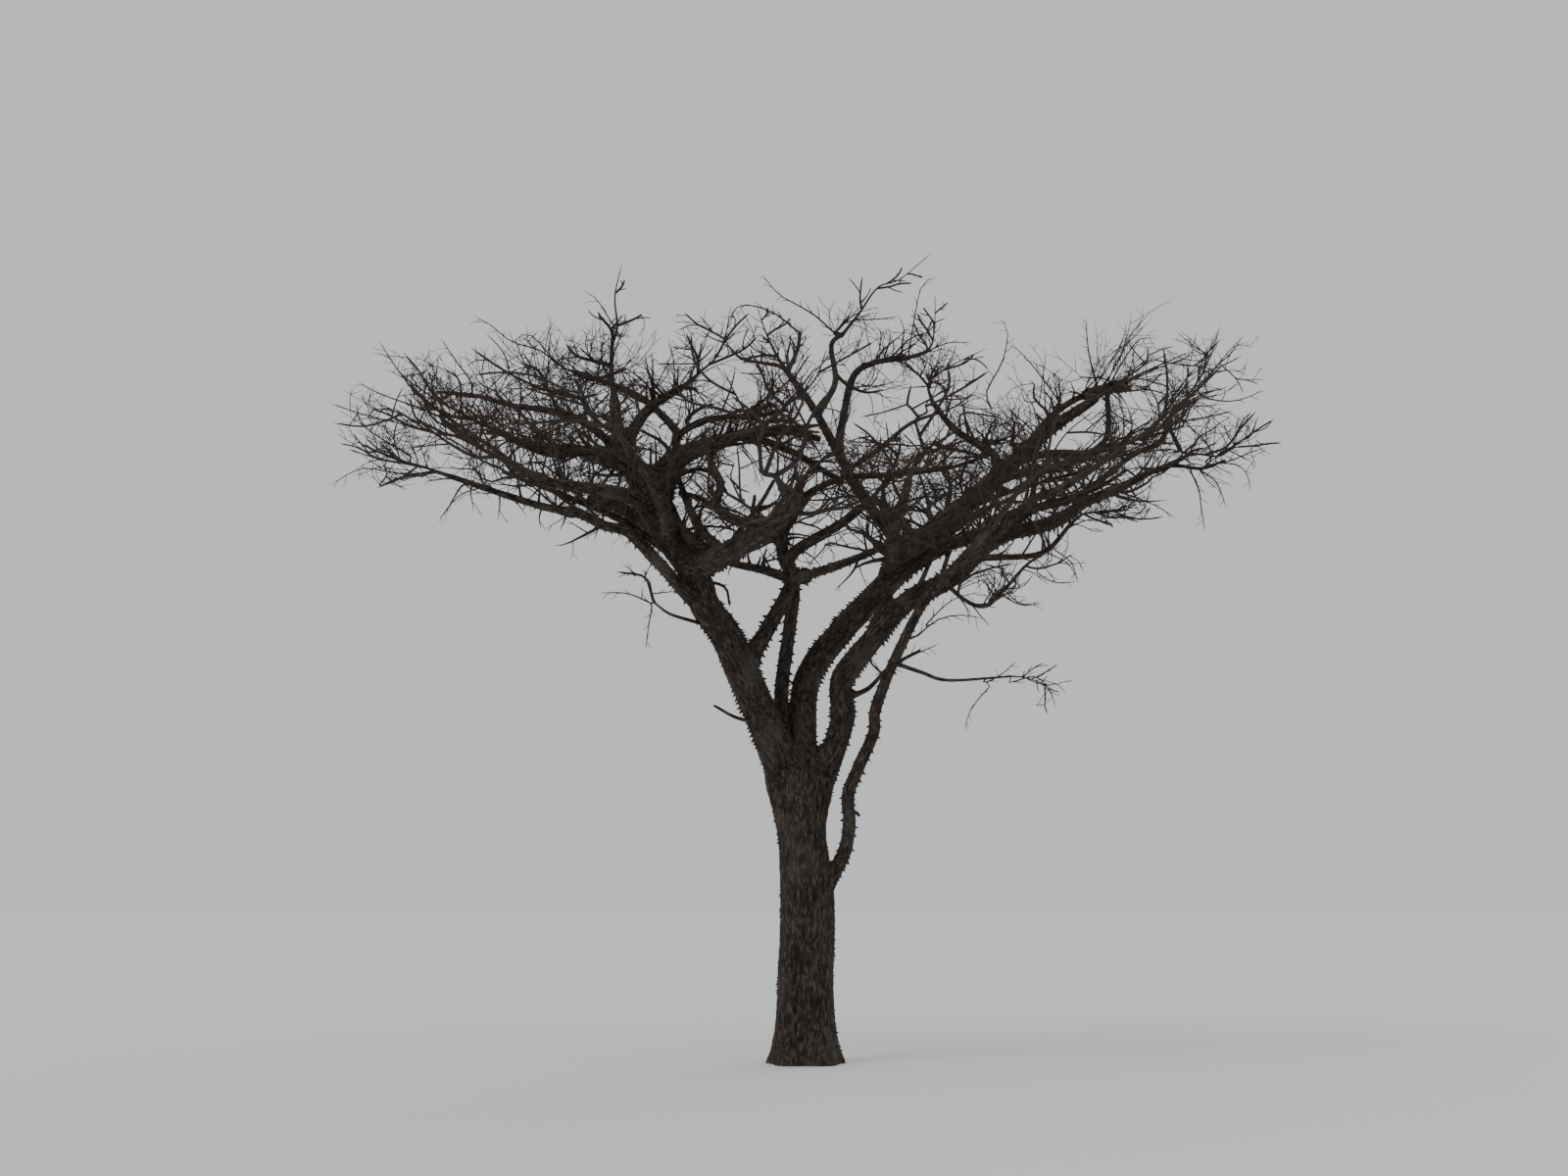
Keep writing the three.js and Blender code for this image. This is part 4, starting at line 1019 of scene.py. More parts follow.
def framesAlong(line):  # a turning frame at each point: across, over and along
    across = np.array([0.0, 1.0, 0.0])
    frames = []
    for i in range(len(line)):
        way = unit(line[min(i + 1, len(line) - 1)] - line[max(i - 1, 0)])
        across = unit(across - way * (across @ way))
        frames.append(np.array([across, np.cross(way, across), way]))
    return np.array(frames)


def placing(centre, across, radius):
    m = Matrix.Identity(4)
    for row in range(3):
        for column in range(3):
            m[row][column] = across[column][row] * (radius if column < 2 else 1)
        m[row][3] = centre[row]
    return m


def tubeRings(bm, line, radii, sides):  # a circle carried and extruded along a line; gives its rings
    frames = framesAlong(line)
    here = placing(line[0], frames[0], radii[0])
    ring = bmesh.ops.create_circle(bm, cap_ends=True, segments=sides, radius=1, matrix=here)["verts"]
    rings = [ring]
    edges = [e for e in bm.edges if e.verts[0] in set(ring) and e.verts[1] in set(ring)]
    for point, across, radius in zip(line[1:], frames[1:], radii[1:]):
        made = bmesh.ops.extrude_edge_only(bm, edges=edges)["geom"]
        ring = [g for g in made if isinstance(g, bmesh.types.BMVert)]
        edges = [g for g in made if isinstance(g, bmesh.types.BMEdge)]
        there = placing(point, across, radius)
        bmesh.ops.transform(bm, matrix=there @ here.inverted(), verts=ring)
        here = there
        rings.append(ring)
    bmesh.ops.contextual_create(bm, geom=edges)
    return rings


def trunkRadius(height):
    flare = trunkShape["flare"] * np.exp(-max(height, 0) / trunkShape["flareHeight"])
    pinch = trunkShape["pinch"] * np.exp(-((height - trunkShape["waist"]) / trunkShape["pinchLength"]) ** 2)
    return trunkShape["girth"] + flare - pinch


def trunkSection(height, angle):  # ridges into the root flare, wide at the fork, rounded off above it
    fork = smoothStep(height, trunkShape["waist"], trunkShape["fork"])
    rounding = smoothStep(height, trunkShape["fork"], trunkShape["height"])
    ridge = trunkShape["ridge"] * np.exp(-max(height, 0) / trunkShape["ridgeHeight"])
    ridge *= np.cos(trunkShape["ridges"] * angle)
    wide = 1 + ridge + trunkShape["spread"] / trunkShape["girth"] * fork
    deep = 1 + ridge - trunkShape["thinning"] / trunkShape["girth"] * fork
    return wide * (1 - 0.25 * rounding), deep * (1 - 0.4 * rounding)


def addForm(bm, form):  # one closed form more for the skin
    bmesh.ops.recalc_face_normals(form, faces=form.faces)
    mesh = bpy.data.meshes.new("form")
    form.to_mesh(mesh)
    form.free()
    bm.from_mesh(mesh)
    bpy.data.meshes.remove(mesh)


def trunkLine(shares):
    return curveAt(np.array(trunkShape["through"], float) * cm, shares)


def makeTrunk(bm):
    heights = np.linspace(-skin["belowGround"], trunkShape["height"], skin["trunkRings"])
    line = trunkLine(heights / trunkShape["height"])
    line[:, 2] = heights
    form = bmesh.new()
    upright = heights[:, None] * up
    rings = tubeRings(form, upright, np.ones(len(heights)), skin["trunkSides"])
    for point, ring in zip(line, rings):
        radius = trunkRadius(point[2])
        for v in ring:
            angle = math.atan2(v.co.x, v.co.y)
            wide, deep = trunkSection(point[2], angle)
            v.co.x = point[0] + radius * wide * math.sin(angle)
            v.co.y = point[1] + radius * deep * math.cos(angle)
    addForm(bm, form)


def skinRadii(limb, share):  # the limb's taper, with a collar at its root and slight swellings
    radii = limbRadius(limb, share)
    length = limb["length"]
    if "on" in limb or "room" in limb:
        buried = limbRadius(limbs[limb["on"][0]], limb["on"][1]) if "on" in limb else radii[0]
        past = np.maximum(share * length - buried, 0)
        collar = skin["collar"] if "on" in limb else skin["innerCollar"]
        radii = radii * (1 + collar * np.exp(-past / radii[0]))
    offset = limb["base"] * skin["swellShift"]
    swell = [noise.noise(Vector((offset, 0, s * length / skin["swellLength"]))) for s in share]
    fade = np.clip(share * skin["swellFade"], 0, 1)
    return radii * (1 + skin["swelling"] * np.array(swell) * fade)


def makeLimb(bm, limb):
    count = int(limb["length"] / skin["ringStep"]) + 2
    share = np.linspace(0, 1, count)
    form = bmesh.new()
    tubeRings(form, spacedAt(limb["guides"], share)[0], skinRadii(limb, share), skin["limbSides"])
    addForm(bm, form)


def placed(name, data):  # a new object in the scene
    made = bpy.data.objects.new(name, data)
    bpy.context.scene.collection.objects.link(made)
    return made


def newPiece(name, mesh, material):
    piece = placed(name, mesh)
    mesh.materials.clear()
    mesh.materials.append(material)
    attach(piece, "root")
    return piece


def remeshed(bm, voxel):  # one closed skin over all the forms, smoothed
    mesh = bpy.data.meshes.new("forms")
    bm.to_mesh(mesh)
    forms = placed("forms", mesh)
    fuse = forms.modifiers.new("fuse", "REMESH")
    fuse.mode = "VOXEL"
    fuse.voxel_size = voxel
    fuse.use_smooth_shade = True
    ease = forms.modifiers.new("ease", "SMOOTH")
    ease.factor = skin["smoothing"]
    ease.iterations = skin["smoothRounds"]
    ready = forms.evaluated_get(bpy.context.evaluated_depsgraph_get())
    made = bpy.data.meshes.new_from_object(ready)
    bpy.data.objects.remove(forms)
    bpy.data.meshes.remove(mesh)
    return made


def coordinatesOf(mesh):
    co = np.empty(len(mesh.vertices) * 3, np.float32)
    mesh.vertices.foreach_get("co", co)
    return co.reshape(-1, 3).astype(float)


def carriersOf(points, names):  # which of the named limbs each point lies on, or -1 for the trunk
    a = np.concatenate([boughs[name]["points"][:-1] for name in names])
    b = np.concatenate([boughs[name]["points"][1:] for name in names])
    radius = np.concatenate([boughs[name]["radii"][:-1] for name in names])
    owner = np.concatenate([np.full(len(boughs[name]["points"]) - 1, i) for i, name in enumerate(names)])

    def nearest(some):
        gaps = distanceToStretches(some, a, b) - radius
        return np.column_stack([owner[gaps.argmin(1)], gaps.min(1)])

    found, gap = chunks(points, nearest).T
    axis = trunkLine(points[:, 2] / trunkShape["height"])
    offTrunk = np.linalg.norm(points[:, :2] - axis[:, :2], axis=1) - skin["trunkReach"]
    onTrunk = (points[:, 2] < trunkShape["fork"]) & (offTrunk < gap + skin["trunkHold"])
    return np.where(onTrunk, -1, found.astype(int))


# For each point its place in the bark's grain, across and over the limb and along it, and the limb's radius
def grainOf(points, names, owner):
    grain = np.zeros((len(points), 3))
    girth = np.full(len(points), trunkShape["girth"])
    onTrunk = owner < 0
    grain[onTrunk] = points[onTrunk]
    for i, name in enumerate(names):
        rows = np.nonzero(owner == i)[0]
        if len(rows) == 0:
            continue
        limb = boughs[name]
        share = np.linspace(0, 1, grainSteps["samples"])
        line = spacedAt(limb["guides"], share)[0]
        frames = framesAlong(line)
        nearest = chunks(points[rows], lambda p: np.linalg.norm(p[:, None] - line, axis=2).argmin(1))
        off = points[rows] - line[nearest]
        local = np.einsum("nij,nj->ni", frames[nearest], off)
        grain[rows, 0] = local[:, 0] + i * grainSteps["shift"]
        grain[rows, 1] = local[:, 1]
        grain[rows, 2] = share[nearest] * limb["length"] + local[:, 2] + grainSteps["start"]
        girth[rows] = limbRadius(limb, share[nearest])
    return grain, girth


def keepValues(mesh, name, kind, field, values):  # values for each point, which the finish reads
    kept = mesh.attributes.new(name, kind, "POINT")
    kept.data.foreach_set(field, values.astype(np.float32).ravel())


def addRelief(mesh, names):  # long ridges with furrows between them, and the grain kept for the finish
    points = coordinatesOf(mesh)
    normals = np.empty(len(points) * 3, np.float32)
    mesh.vertex_normals.foreach_get("vector", normals)
    owner = carriersOf(points, names)
    grain, girth = grainOf(points, names, owner)
    ridges = np.array([noise.ridged_multi_fractal(Vector(p), *barkRelief["fractal"])
                       for p in grain * barkRelief["ridges"]])
    plates = np.array([noise.noise(Vector(p)) for p in grain * barkRelief["plates"]])
    relief = np.clip((ridges - barkRelief["middle"]) / barkRelief["range"], -1, 1)
    relief = relief + barkRelief["plateShare"] * plates
    stout = np.clip(girth / barkRelief["fullGirth"], barkRelief["leastShare"], 1)
    depth = barkRelief["depth"] * stout + (barkRelief["trunkDepth"] - barkRelief["depth"]) * (owner < 0)
    foot = smoothStep(points[:, 2], barkRelief["footFrom"], barkRelief["footTo"])
    moved = points + normals.reshape(-1, 3) * (relief * depth)[:, None] * foot[:, None]
    mesh.vertices.foreach_set("co", moved.astype(np.float32).ravel())
    keepValues(mesh, "grain", "FLOAT_VECTOR", "vector", grain)
    keepValues(mesh, "relief", "FLOAT", "value", relief)
    mesh.update()
    return owner


def fillRim(bm, rim):  # closes a cut, with a sharp edge round it
    for edge in rim:
        edge.smooth = False
    return bmesh.ops.holes_fill(bm, edges=rim, sides=0)["faces"]


def cutFlat(mesh):  # the flat foot at the ground
    bm = bmesh.new()
    bm.from_mesh(mesh)
    geom = [*bm.verts, *bm.edges, *bm.faces]
    cut = bmesh.ops.bisect_plane(bm, geom=geom, plane_co=(0, 0, skin["foot"]), plane_no=(0, 0, -1),
                                 clear_outer=True)
    for face in fillRim(bm, [g for g in cut["geom_cut"] if isinstance(g, bmesh.types.BMEdge)]):
        face.smooth = False
    bm.to_mesh(mesh)
    bm.free()


def partOf(mesh, name, wanted):  # the faces of one part, closed where it meets the next
    bm = bmesh.new()
    bm.from_mesh(mesh)
    bm.faces.ensure_lookup_table()
    unwanted = [bm.faces[i] for i in np.nonzero(~wanted)[0]]
    bmesh.ops.delete(bm, geom=unwanted, context="FACES")
    caps = fillRim(bm, [e for e in bm.edges if e.is_boundary])
    bmesh.ops.triangulate(bm, faces=caps)
    part = bpy.data.meshes.new(name)
    bm.to_mesh(part)
    bm.free()
    return part


def firstCorners(mesh):  # one corner of each face
    corners = np.empty(len(mesh.loops), np.int32)
    mesh.loops.foreach_get("vertex_index", corners)
    starts = np.empty(len(mesh.polygons), np.int32)
    mesh.polygons.foreach_get("loop_start", starts)
    return corners[starts]


def skinOver(names, voxel, withTrunk=False):  # one skin over the named boughs, and who carries each point
    bm = bmesh.new()
    if withTrunk:
        makeTrunk(bm)
    for name in names:
        makeLimb(bm, boughs[name])
    mesh = remeshed(bm, voxel)
    bm.free()
    if withTrunk:
        cutFlat(mesh)
    return mesh, addRelief(mesh, names)


def limbPiece(name, mesh, material, names):
    piece = newPiece(name, mesh, material)
    replaced = [each for each in names if each in limbs]
    if replaced:
        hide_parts(*replaced)
    print(name, len(mesh.polygons), "faces")


def makeSkins(bark, limbFinish):
    mainLimbs = [name for name in limbs if name.endswith("_limb")]
    whole, owner = skinOver(mainLimbs, skin["limbVoxel"], withTrunk=True)
    first = firstCorners(whole)
    low = coordinatesOf(whole)[first, 2] < skin["trunkTop"]
    trunk = newPiece("trunk_skin", partOf(whole, "trunk_skin", low), bark)
    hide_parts("trunk")
    leftLimbs = [name for name in mainLimbs if name in leftBoughs]
    rightLimbs = [name for name in mainLimbs if name not in leftBoughs]
    left = np.isin(owner[first], [mainLimbs.index(name) for name in leftLimbs])
    limbPiece("left_limb_skin", partOf(whole, "left_limb_skin", ~low & left), limbFinish, leftLimbs)
    limbPiece("right_limb_skin", partOf(whole, "right_limb_skin", ~low & ~left), limbFinish, rightLimbs)
    stocky = [name for name in boughs if name not in mainLimbs and name not in thinBoughs]
    kinds = {"left_bough_skin": [name for name in stocky if name in leftBoughs],
             "right_bough_skin": [name for name in stocky if name in limbs and name not in leftBoughs],
             "inner_bough_skin": [name for name in stocky if name in innerBoughs]}
    surfaces = [whole]
    for kind, names in kinds.items():
        mesh = skinOver(names, skin["boughVoxel"])[0]
        limbPiece(kind, mesh, limbFinish, names)
        surfaces.append(mesh)
    limbPiece("thin_bough_skin", skinOver(thinBoughs, skin["thinVoxel"])[0], limbFinish, thinBoughs)
    tree = treeOver(surfaces)
    bpy.data.meshes.remove(whole)
    return tree


def treeOver(meshes):  # for finding the nearest place on any of the skins
    points, faces = [], []
    for mesh in meshes:
        faces += [tuple(len(points) + corner for corner in face.vertices) for face in mesh.polygons]
        points += [tuple(point) for point in coordinatesOf(mesh)]
    return BVHTree.FromPolygons(points, faces)


# Woody prickles: a broad knob that draws out to a short hooked point. Lengths are in metres, girth and hook
# are shares of the height, and perArea is the bark that each one has to itself.
prickle = {"sides": 6, "rings": 3, "height": 0.05, "girth": 0.46, "slimming": 0.45, "slimPower": 0.8,
           "hook": 0.3, "hookPower": 2.2, "perArea": 0.0066, "jitter": 0.9, "lean": 0.35, "leanFrom": 0.2,
           "twist": 1.2, "smallest": 0.65, "sizeRange": 0.6, "sunk": 0.26, "onTrunk": 0.6, "least": 0.35,
           "fullRadius": 0.07, "trunkReach": 0.6, "reach": 1.35, "reachMore": 0.01, "facing": 0.5,
           "lowest": 0.12, "seed": 311, "seedStep": 997, "from": 0.02, "to": 0.97, "trunkTo": 0.98,
           "steps": 60}


def prickleShape():
    bm = bmesh.new()
    middle = 0.5
    bmesh.ops.create_cone(bm, cap_ends=True, segments=prickle["sides"], radius1=prickle["girth"],
                          radius2=0, depth=1, matrix=Matrix.Translation((0, 0, middle)))
    upright = [e for e in bm.edges if abs(e.verts[0].co.z - e.verts[1].co.z) > middle]
    bmesh.ops.subdivide_edgering(bm, edges=upright, cuts=prickle["rings"] - 1, profile_shape="LINEAR")
    for v in bm.verts:
        z = v.co.z
        slim = 1 - prickle["slimming"] * math.sin(math.pi * min(z, 1)) ** prickle["slimPower"]
        v.co.x = v.co.x * slim + prickle["hook"] * z ** prickle["hookPower"]
        v.co.y = v.co.y * slim
    bmesh.ops.recalc_face_normals(bm, faces=bm.faces)
    mesh = bpy.data.meshes.new("prickleForm")
    bm.to_mesh(mesh)
    bm.free()
    return mesh


def copiesOf(mesh, turns, places):  # one mesh with a copy of the shape at each place
    points = coordinatesOf(mesh)
    count = len(points)
    copies = np.einsum("nij,kj->nki", turns, points) + places[:, None]
    faces = [tuple(f.vertices) for f in mesh.polygons]
    sizes = np.array([len(f) for f in faces])
    corners = np.concatenate(faces)
    allCorners = (corners[None] + np.arange(len(places))[:, None] * count).ravel()
    return meshFromArrays(copies.reshape(-1, 3), allCorners, np.tile(sizes, len(places)))


def meshFromArrays(points, corners, sizes):
    mesh = bpy.data.meshes.new("copies")
    mesh.vertices.add(len(points))
    mesh.vertices.foreach_set("co", points.astype(np.float32).ravel())
    mesh.loops.add(len(corners))
    mesh.loops.foreach_set("vertex_index", corners.astype(np.int32))
    mesh.polygons.add(len(sizes))
    starts = np.concatenate([[0], np.cumsum(sizes)[:-1]])
    mesh.polygons.foreach_set("loop_start", starts.astype(np.int32))
    mesh.polygons.foreach_set("use_smooth", np.ones(len(sizes), bool))
    mesh.update(calc_edges=True)
    mesh.validate()
    return mesh


def prickleSpots(line, radii, seed):  # even places along and round a line, more where it is stouter
    lengths = lengthsAlong(line)
    weight = np.concatenate([[0], np.cumsum((radii[1:] + radii[:-1]) / 2 * np.diff(lengths))])
    count = int(2 * math.pi * weight[-1] / prickle["perArea"])
    numbers = Numbers(seed + np.arange(count))
    share = (np.arange(count) + numbers.draw()) / count
    place = np.interp(share * weight[-1], weight, np.arange(len(line)))
    turn = np.arange(count) * rule["goldenTurn"] + prickle["jitter"] * (numbers.draw() - 0.5)
    return place, turn, numbers


def prickleCarriers():  # the trunk's and the boughs' lines and radii
    steps = prickle["steps"]
    rows = [("trunk", trunkLine(np.linspace(prickle["from"], prickle["trunkTo"], steps)),
             np.full(steps, trunkShape["girth"]))]
    for name, limb in boughs.items():
        if name not in thinBoughs:
            share = np.linspace(prickle["from"], prickle["to"], steps)
            rows.append((name, spacedAt(limb["guides"], share)[0], limbRadius(limb, share)))
    return rows


# One prickle, looked for on the skin outwards from a place on the line: how it is turned and where it stands
def placedPrickle(surface, at, frame, angle, reach, height, lean, twist):
    out = Vector(frame[0] * math.cos(angle) + frame[1] * math.sin(angle))
    hit, normal = surface.ray_cast(Vector(at), out, reach)[:2]
    if hit is None or normal.dot(out) < prickle["facing"] or hit.z < prickle["lowest"]:
        return None
    backward = -Vector(frame[2])
    axis = (normal + backward * lean).normalized()
    hook = (backward - axis * backward.dot(axis)).normalized()
    hook.rotate(Matrix.Rotation(twist, 3, axis))
    turned = np.column_stack([hook, axis.cross(hook), axis]) * height
    return turned, np.array(hit - axis * height * prickle["sunk"])


def growPrickles(surface):
    found = []
    for number, (name, line, radii) in enumerate(prickleCarriers()):
        frames = framesAlong(line)
        place, turn, numbers = prickleSpots(line, radii, prickle["seed"] + number * prickle["seedStep"])
        sizes = prickle["smallest"] + prickle["sizeRange"] * numbers.draw()
        leans = prickle["lean"] * (numbers.draw() - prickle["leanFrom"])
        twists = prickle["twist"] * (numbers.draw() - 0.5)
        for p, angle, size, lean, twist in zip(place, turn, sizes, leans, twists):
            i = min(int(p), len(line) - 2)
            at = line[i] + (line[i + 1] - line[i]) * (p - i)
            stout = min(1, max(prickle["least"], radii[i] / prickle["fullRadius"]))
            reach = radii[i] * prickle["reach"] + prickle["reachMore"]
            if name == "trunk":
                stout, reach = prickle["onTrunk"], prickle["trunkReach"]
            height = prickle["height"] * size * stout
            found.append(placedPrickle(surface, at, frames[i], angle, reach, height, lean, twist))
    turns, places = zip(*[each for each in found if each])
    return np.array(turns), np.array(places)


def makePrickles(surface, material):
    shape = prickleShape()
    turns, places = growPrickles(surface)
    piece = newPiece("woody_prickles", copiesOf(shape, turns, places), material)
    bpy.data.meshes.remove(shape)
    return len(places)


# Twigs are tubes of few sides, joined by kind, and their colours are dealt out by spray
twigSides = {"stems": 8, "firsts": 6, "seconds": 4, "twigs": 3, "spurs": 3}
sprayTints = {"twigs_brown": (0.036, 0.024, 0.018), "twigs_red": (0.045, 0.026, 0.019),
              "twigs_grey": (0.042, 0.033, 0.027)}
stemTint = (0.042, 0.033, 0.026)
stemRoot = 0.04


def tubesOf(shoots, sides):  # corners and faces of closed tapering tubes, one for each shoot
    line, radii = shoots["points"], shoots["radii"]
    n, rings, _ = line.shape
    across = np.tile([0.0, 1.0, 0.0], (n, 1))
    angle = np.arange(sides) * 2 * math.pi / sides
    corners = []
    for k in range(rings - 1):
        way = unit(line[:, k + 1] - line[:, max(k - 1, 0)])
        across = across - way * (across * way).sum(1, keepdims=True)
        across = unit(across + 1e-6)
        over = np.cross(way, across)
        turned = across[:, None] * np.cos(angle)[:, None] + over[:, None] * np.sin(angle)[:, None]
        corners.append(line[:, k, None] + turned * radii[:, k, None, None])
    points = np.concatenate(corners + [line[:, -1:]], axis=1)
    here = np.arange(sides)
    around = (here + 1) % sides
    quads = [np.column_stack([k * sides + here, k * sides + around, (k + 1) * sides + around,
                              (k + 1) * sides + here]) for k in range(rings - 2)]
    last = (rings - 2) * sides
    tip = np.column_stack([last + here, last + around, np.full(sides, (rings - 1) * sides)])
    faces = np.concatenate([np.concatenate(quads).ravel(), tip.ravel(), here[::-1]])
    sizes = np.concatenate([np.full(len(quads) * sides, 4), np.full(sides, 3), [sides]])
    count = points.shape[1]
    allFaces = (faces[None] + np.arange(n)[:, None] * count).ravel()
    return points.reshape(-1, 3), allFaces, np.tile(sizes, n)


def joinedTubes(parts):
    points, faces, sizes = [], [], []
    start = 0
    for shoots, sides in parts:
        if len(shoots["seed"]) == 0:
            continue
        p, f, s = tubesOf(shoots, sides)
        points.append(p)
        faces.append(f + start)
        sizes.append(s)
        start += len(p)
    return meshFromArrays(np.concatenate(points), np.concatenate(faces), np.concatenate(sizes))


def pick(shoots, rows):
    return {key: value[rows] for key, value in shoots.items()}


def rooted(stems):  # each stem starts a little inside the end of its bough
    line = stems["points"].copy()
    line[:, 0] -= unit(line[:, 1] - line[:, 0]) * stemRoot
    return {**stems, "points": line}


def makeTwigs(grown):
    stems = [(rooted(grown["stems"]), twigSides["stems"]), (grown["firsts"], twigSides["firsts"])]
    pieces = [newPiece("crown_stems", joinedTubes(stems), twigFinish("crown_stems", stemTint))]
    for tint, (name, colour) in enumerate(sprayTints.items()):
        parts = []
        for kind in ("seconds", "twigs", "spurs"):
            shoots = grown[kind]
            spray = shoots["spray"]
            dealt = (spray * sprays["deal"] + spray // sprays["step"]) % len(sprayTints)
            parts.append((pick(shoots, dealt == tint), twigSides[kind]))
        pieces.append(newPiece(name, joinedTubes(parts), twigFinish(name, colour)))
    for piece in pieces:
        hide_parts(*masses)
        print(piece.name, len(piece.data.polygons), "faces")


def node(tree, kind, **values):
    made = tree.nodes.new(kind)
    for key, value in values.items():
        if key in made.inputs:
            made.inputs[key].default_value = value
        else:
            setattr(made, key, value)
    return made


def newMaterial(name, roughness):
    material = bpy.data.materials.new(name)
    material.use_nodes = True
    shader = material.node_tree.nodes["Principled BSDF"]
    shader.inputs["Roughness"].default_value = roughness
    shader.inputs["Specular IOR Level"].default_value = 0.25
    return material, material.node_tree, shader


def addWear(tree, shader, source, dullest, smoothest):  # a sheen that follows the pores
    wear = node(tree, "ShaderNodeMapRange")
    wear.inputs["To Min"].default_value = dullest
    wear.inputs["To Max"].default_value = smoothest
    tree.links.new(source, wear.inputs["Value"])
    tree.links.new(wear.outputs["Result"], shader.inputs["Roughness"])


def addBump(tree, shader, source, strength, depth):
    bump = node(tree, "ShaderNodeBump", Strength=strength, Distance=depth)
    tree.links.new(source, bump.inputs["Height"])
    tree.links.new(bump.outputs["Normal"], shader.inputs["Normal"])


def addedTo(tree, source, share, base):  # base + share * source
    made = node(tree, "ShaderNodeMath", operation="MULTIPLY_ADD")
    made.inputs[1].default_value = share
    tree.links.new(source, made.inputs[0])
    tree.links.new(base, made.inputs[2])
    return made.outputs["Value"]


def ramp(tree, stops):
    made = tree.nodes.new("ShaderNodeValToRGB")
    elements = made.color_ramp.elements
    elements[0].position, elements[0].color = stops[0][0], (*stops[0][1], 1)
    elements[1].position, elements[1].color = stops[-1][0], (*stops[-1][1], 1)
    for place, colour in stops[1:-1]:
        extra = elements.new(place)
        extra.color = (*colour, 1)
    return made


# Bark: dark in the furrows, grey and brown on the ridges, with pale weathered patches
barkLook = {"roughness": 0.92, "furrow": (0.01, 0.0075, 0.006), "flank": (0.034, 0.025, 0.019),
            "ridge": (0.078, 0.062, 0.049),
            "patch": (0.085, 0.074, 0.062), "stretch": (1, 1, 0.28), "fineScale": 95, "fineDetail": 6,
            "fineRoughness": 0.65, "crackScale": 30, "crackWidth": 0.22, "reliefShare": 0.55,
            "crackShare": 0.35, "flankAt": 0.75, "furrowAt": 0.3, "patchScale": 2.6, "patchDetail": 5,
            "patchRoughness": 0.6, "patchFrom": 0.5, "patchFull": 0.72, "dullest": 0.98, "smoothest": 0.8,
            "bump": 0.7, "bumpDepth": 0.008}
twigLook = {"roughness": 0.8, "poreScale": 140, "poreDetail": 3, "dullest": 0.9, "smoothest": 0.65,
            "bump": 0.4, "bumpDepth": 0.001}
patchiness = {"trunk_bark": 0.5, "limb_bark": 0.8}


def barkColour(tree, height):  # from furrow to ridge
    colours = ramp(tree, [(barkLook["furrowAt"], barkLook["furrow"]),
                          (barkLook["flankAt"], barkLook["flank"]), (1, barkLook["ridge"])])
    tree.links.new(height, colours.inputs["Fac"])
    return colours.outputs["Color"]


def barkPatches(tree, paleness):
    link = tree.links.new
    place = node(tree, "ShaderNodeTexCoord")
    patches = node(tree, "ShaderNodeTexNoise", Scale=barkLook["patchScale"], Detail=barkLook["patchDetail"],
                   Roughness=barkLook["patchRoughness"])
    link(place.outputs["Object"], patches.inputs["Vector"])
    paling = ramp(tree, [(barkLook["patchFrom"], (0, 0, 0)), (barkLook["patchFull"], (paleness,) * 3)])
    link(patches.outputs["Fac"], paling.inputs["Fac"])
    return paling.outputs["Color"]


def barkFinish(name):
    material, tree, shader = newMaterial(name, barkLook["roughness"])
    link = tree.links.new
    grain = node(tree, "ShaderNodeAttribute", attribute_name="grain")
    relief = node(tree, "ShaderNodeAttribute", attribute_name="relief")
    stretch = node(tree, "ShaderNodeMapping")
    stretch.inputs["Scale"].default_value = barkLook["stretch"]
    link(grain.outputs["Vector"], stretch.inputs["Vector"])
    fine = node(tree, "ShaderNodeTexNoise", Scale=barkLook["fineScale"], Detail=barkLook["fineDetail"],
                Roughness=barkLook["fineRoughness"])
    link(stretch.outputs["Vector"], fine.inputs["Vector"])
    cracks = node(tree, "ShaderNodeTexVoronoi", Scale=barkLook["crackScale"], feature="DISTANCE_TO_EDGE")
    link(stretch.outputs["Vector"], cracks.inputs["Vector"])
    crackDepth = node(tree, "ShaderNodeMapRange")
    crackDepth.inputs["From Max"].default_value = barkLook["crackWidth"]
    link(cracks.outputs["Distance"], crackDepth.inputs["Value"])
    raised = addedTo(tree, relief.outputs["Fac"], barkLook["reliefShare"], fine.outputs["Fac"])
    height = addedTo(tree, crackDepth.outputs["Result"], barkLook["crackShare"], raised)
    mixed = node(tree, "ShaderNodeMix", data_type="RGBA")
    factor, under, over, result = 0, 6, 7, 2  # the sockets that mix colours
    mixed.inputs[over].default_value = (*barkLook["patch"], 1)
    link(barkPatches(tree, patchiness[name]), mixed.inputs[factor])
    link(barkColour(tree, height), mixed.inputs[under])
    link(mixed.outputs[result], shader.inputs["Base Color"])
    addWear(tree, shader, fine.outputs["Fac"], barkLook["dullest"], barkLook["smoothest"])
    addBump(tree, shader, height, barkLook["bump"], barkLook["bumpDepth"])
    return material


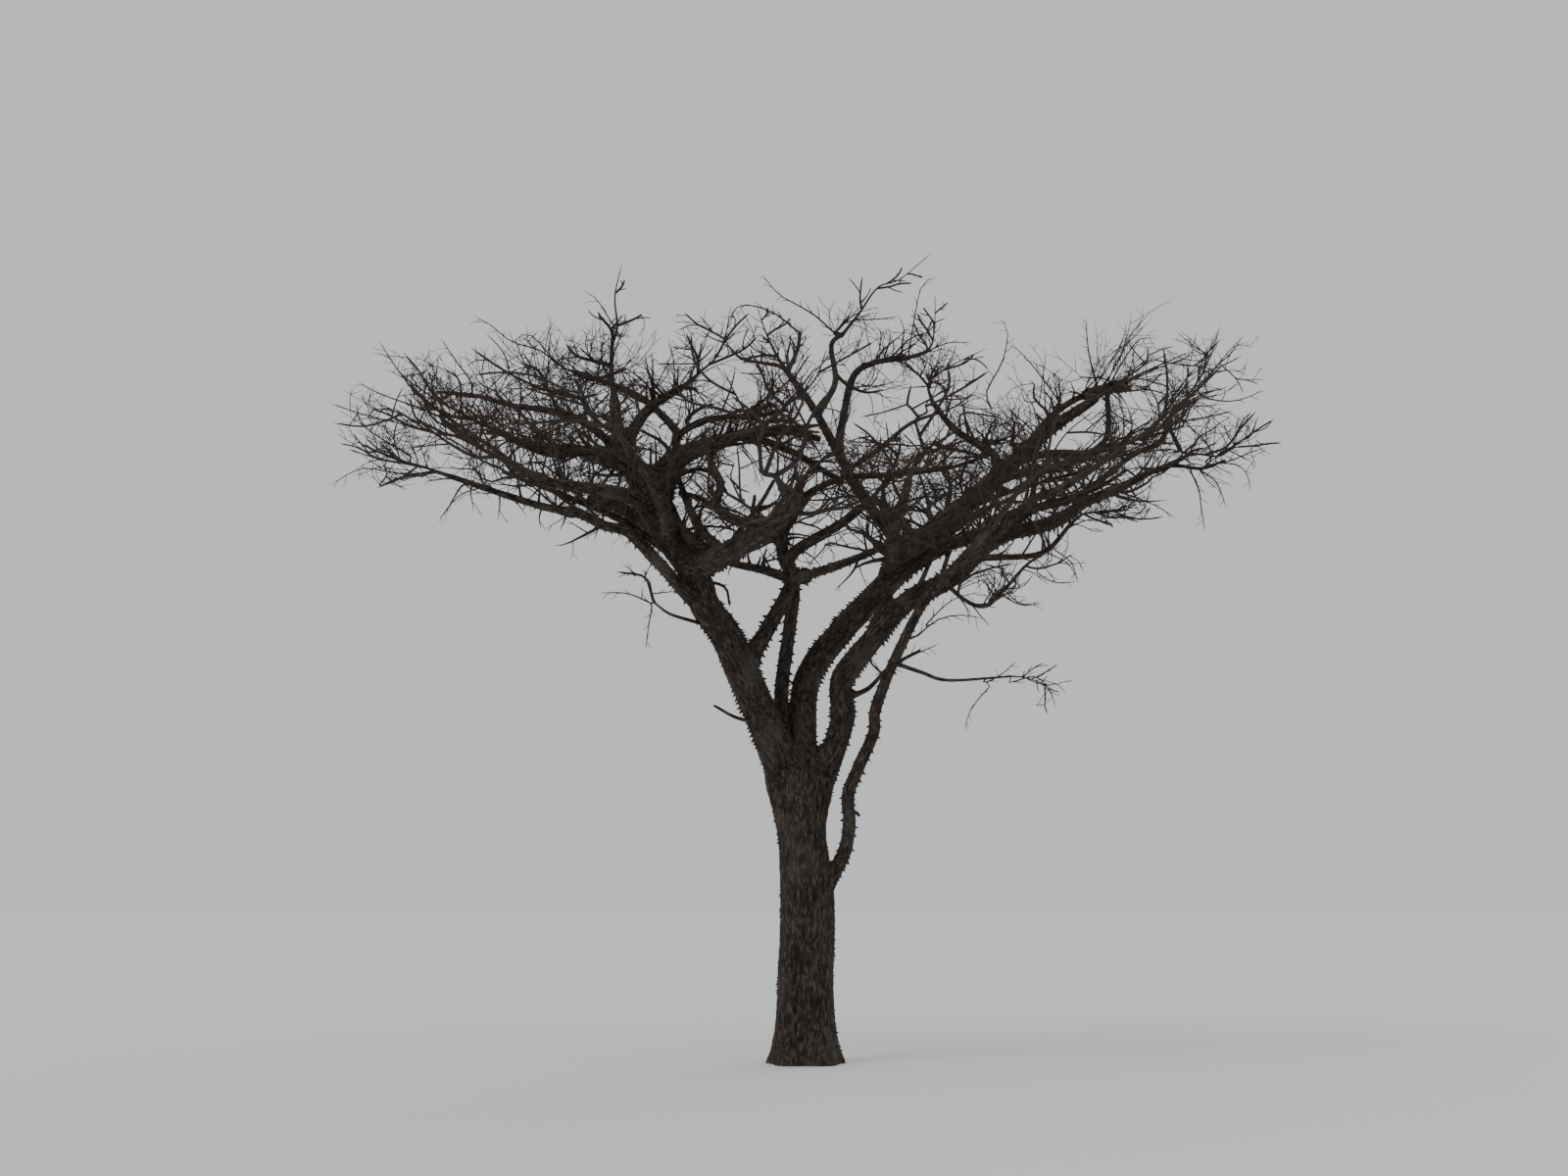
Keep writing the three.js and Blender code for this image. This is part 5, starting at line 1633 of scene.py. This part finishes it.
def twigFinish(name, colour):  # plain colour, with fine pores and a dull sheen
    material, tree, shader = newMaterial(name, twigLook["roughness"])
    shader.inputs["Base Color"].default_value = (*colour, 1)
    place = node(tree, "ShaderNodeTexCoord")
    pores = node(tree, "ShaderNodeTexNoise", Scale=twigLook["poreScale"], Detail=twigLook["poreDetail"])
    tree.links.new(place.outputs["Object"], pores.inputs["Vector"])
    addWear(tree, shader, pores.outputs["Fac"], twigLook["dullest"], twigLook["smoothest"])
    addBump(tree, shader, pores.outputs["Fac"], twigLook["bump"], twigLook["bumpDepth"])
    return material


backdrop = {"colour": (0.87, 0.88, 0.9), "strength": 0.78}
lamps = [
    {"name": "key", "from": (-0.55, -0.5, 0.85), "spread": 24, "strength": 0.62},
    {"name": "back", "from": (0.4, 0.7, 0.6), "spread": 30, "strength": 0.35},
]


def makeFloor():
    bm = bmesh.new()
    bmesh.ops.create_circle(bm, cap_ends=True, segments=stage["floorSides"], radius=stage["floor"])
    mesh = bpy.data.meshes.new("floor")
    bm.to_mesh(mesh)
    bm.free()
    floor = placed("floor", mesh)
    material, _, shader = newMaterial("floor_paint", 0.9)
    shader.inputs["Base Color"].default_value = (*stage["floorColour"], 1)
    mesh.materials.append(material)


def makeLight():
    world = bpy.data.worlds.new("studio")
    bpy.context.scene.world = world
    world.use_nodes = True
    sky = world.node_tree.nodes["Background"]
    sky.inputs["Color"].default_value = (*backdrop["colour"], 1)
    sky.inputs["Strength"].default_value = backdrop["strength"]
    for lamp in lamps:
        light = bpy.data.lights.new(lamp["name"], "SUN")
        light.angle = math.radians(lamp["spread"])
        light.energy = lamp["strength"]
        sun = placed(lamp["name"], light)
        sun.rotation_euler = (-Vector(lamp["from"])).to_track_quat("-Z", "Y").to_euler()


def makeCamera():
    lens = bpy.data.cameras.new("camera")
    lens.lens = stage["lens"]
    lens.sensor_width = stage["film"]
    lens.clip_end = stage["furthest"]
    camera = placed("camera", lens)
    camera.location = stage["eye"]
    camera.rotation_euler = (math.radians(90 + stage["tilt"]), 0, 0)
    bpy.context.scene.camera = camera


tree = layTree()
print("limbs and stems laid")
barkMaterial = barkFinish("trunk_bark")
limbMaterial = barkFinish("limb_bark")
surface = makeSkins(barkMaterial, limbMaterial)
print("skins made")
print("prickles", makePrickles(surface, limbMaterial))
makeTwigs(growTwigs(tree))
print("twigs made")
makeFloor()
makeLight()
makeCamera()
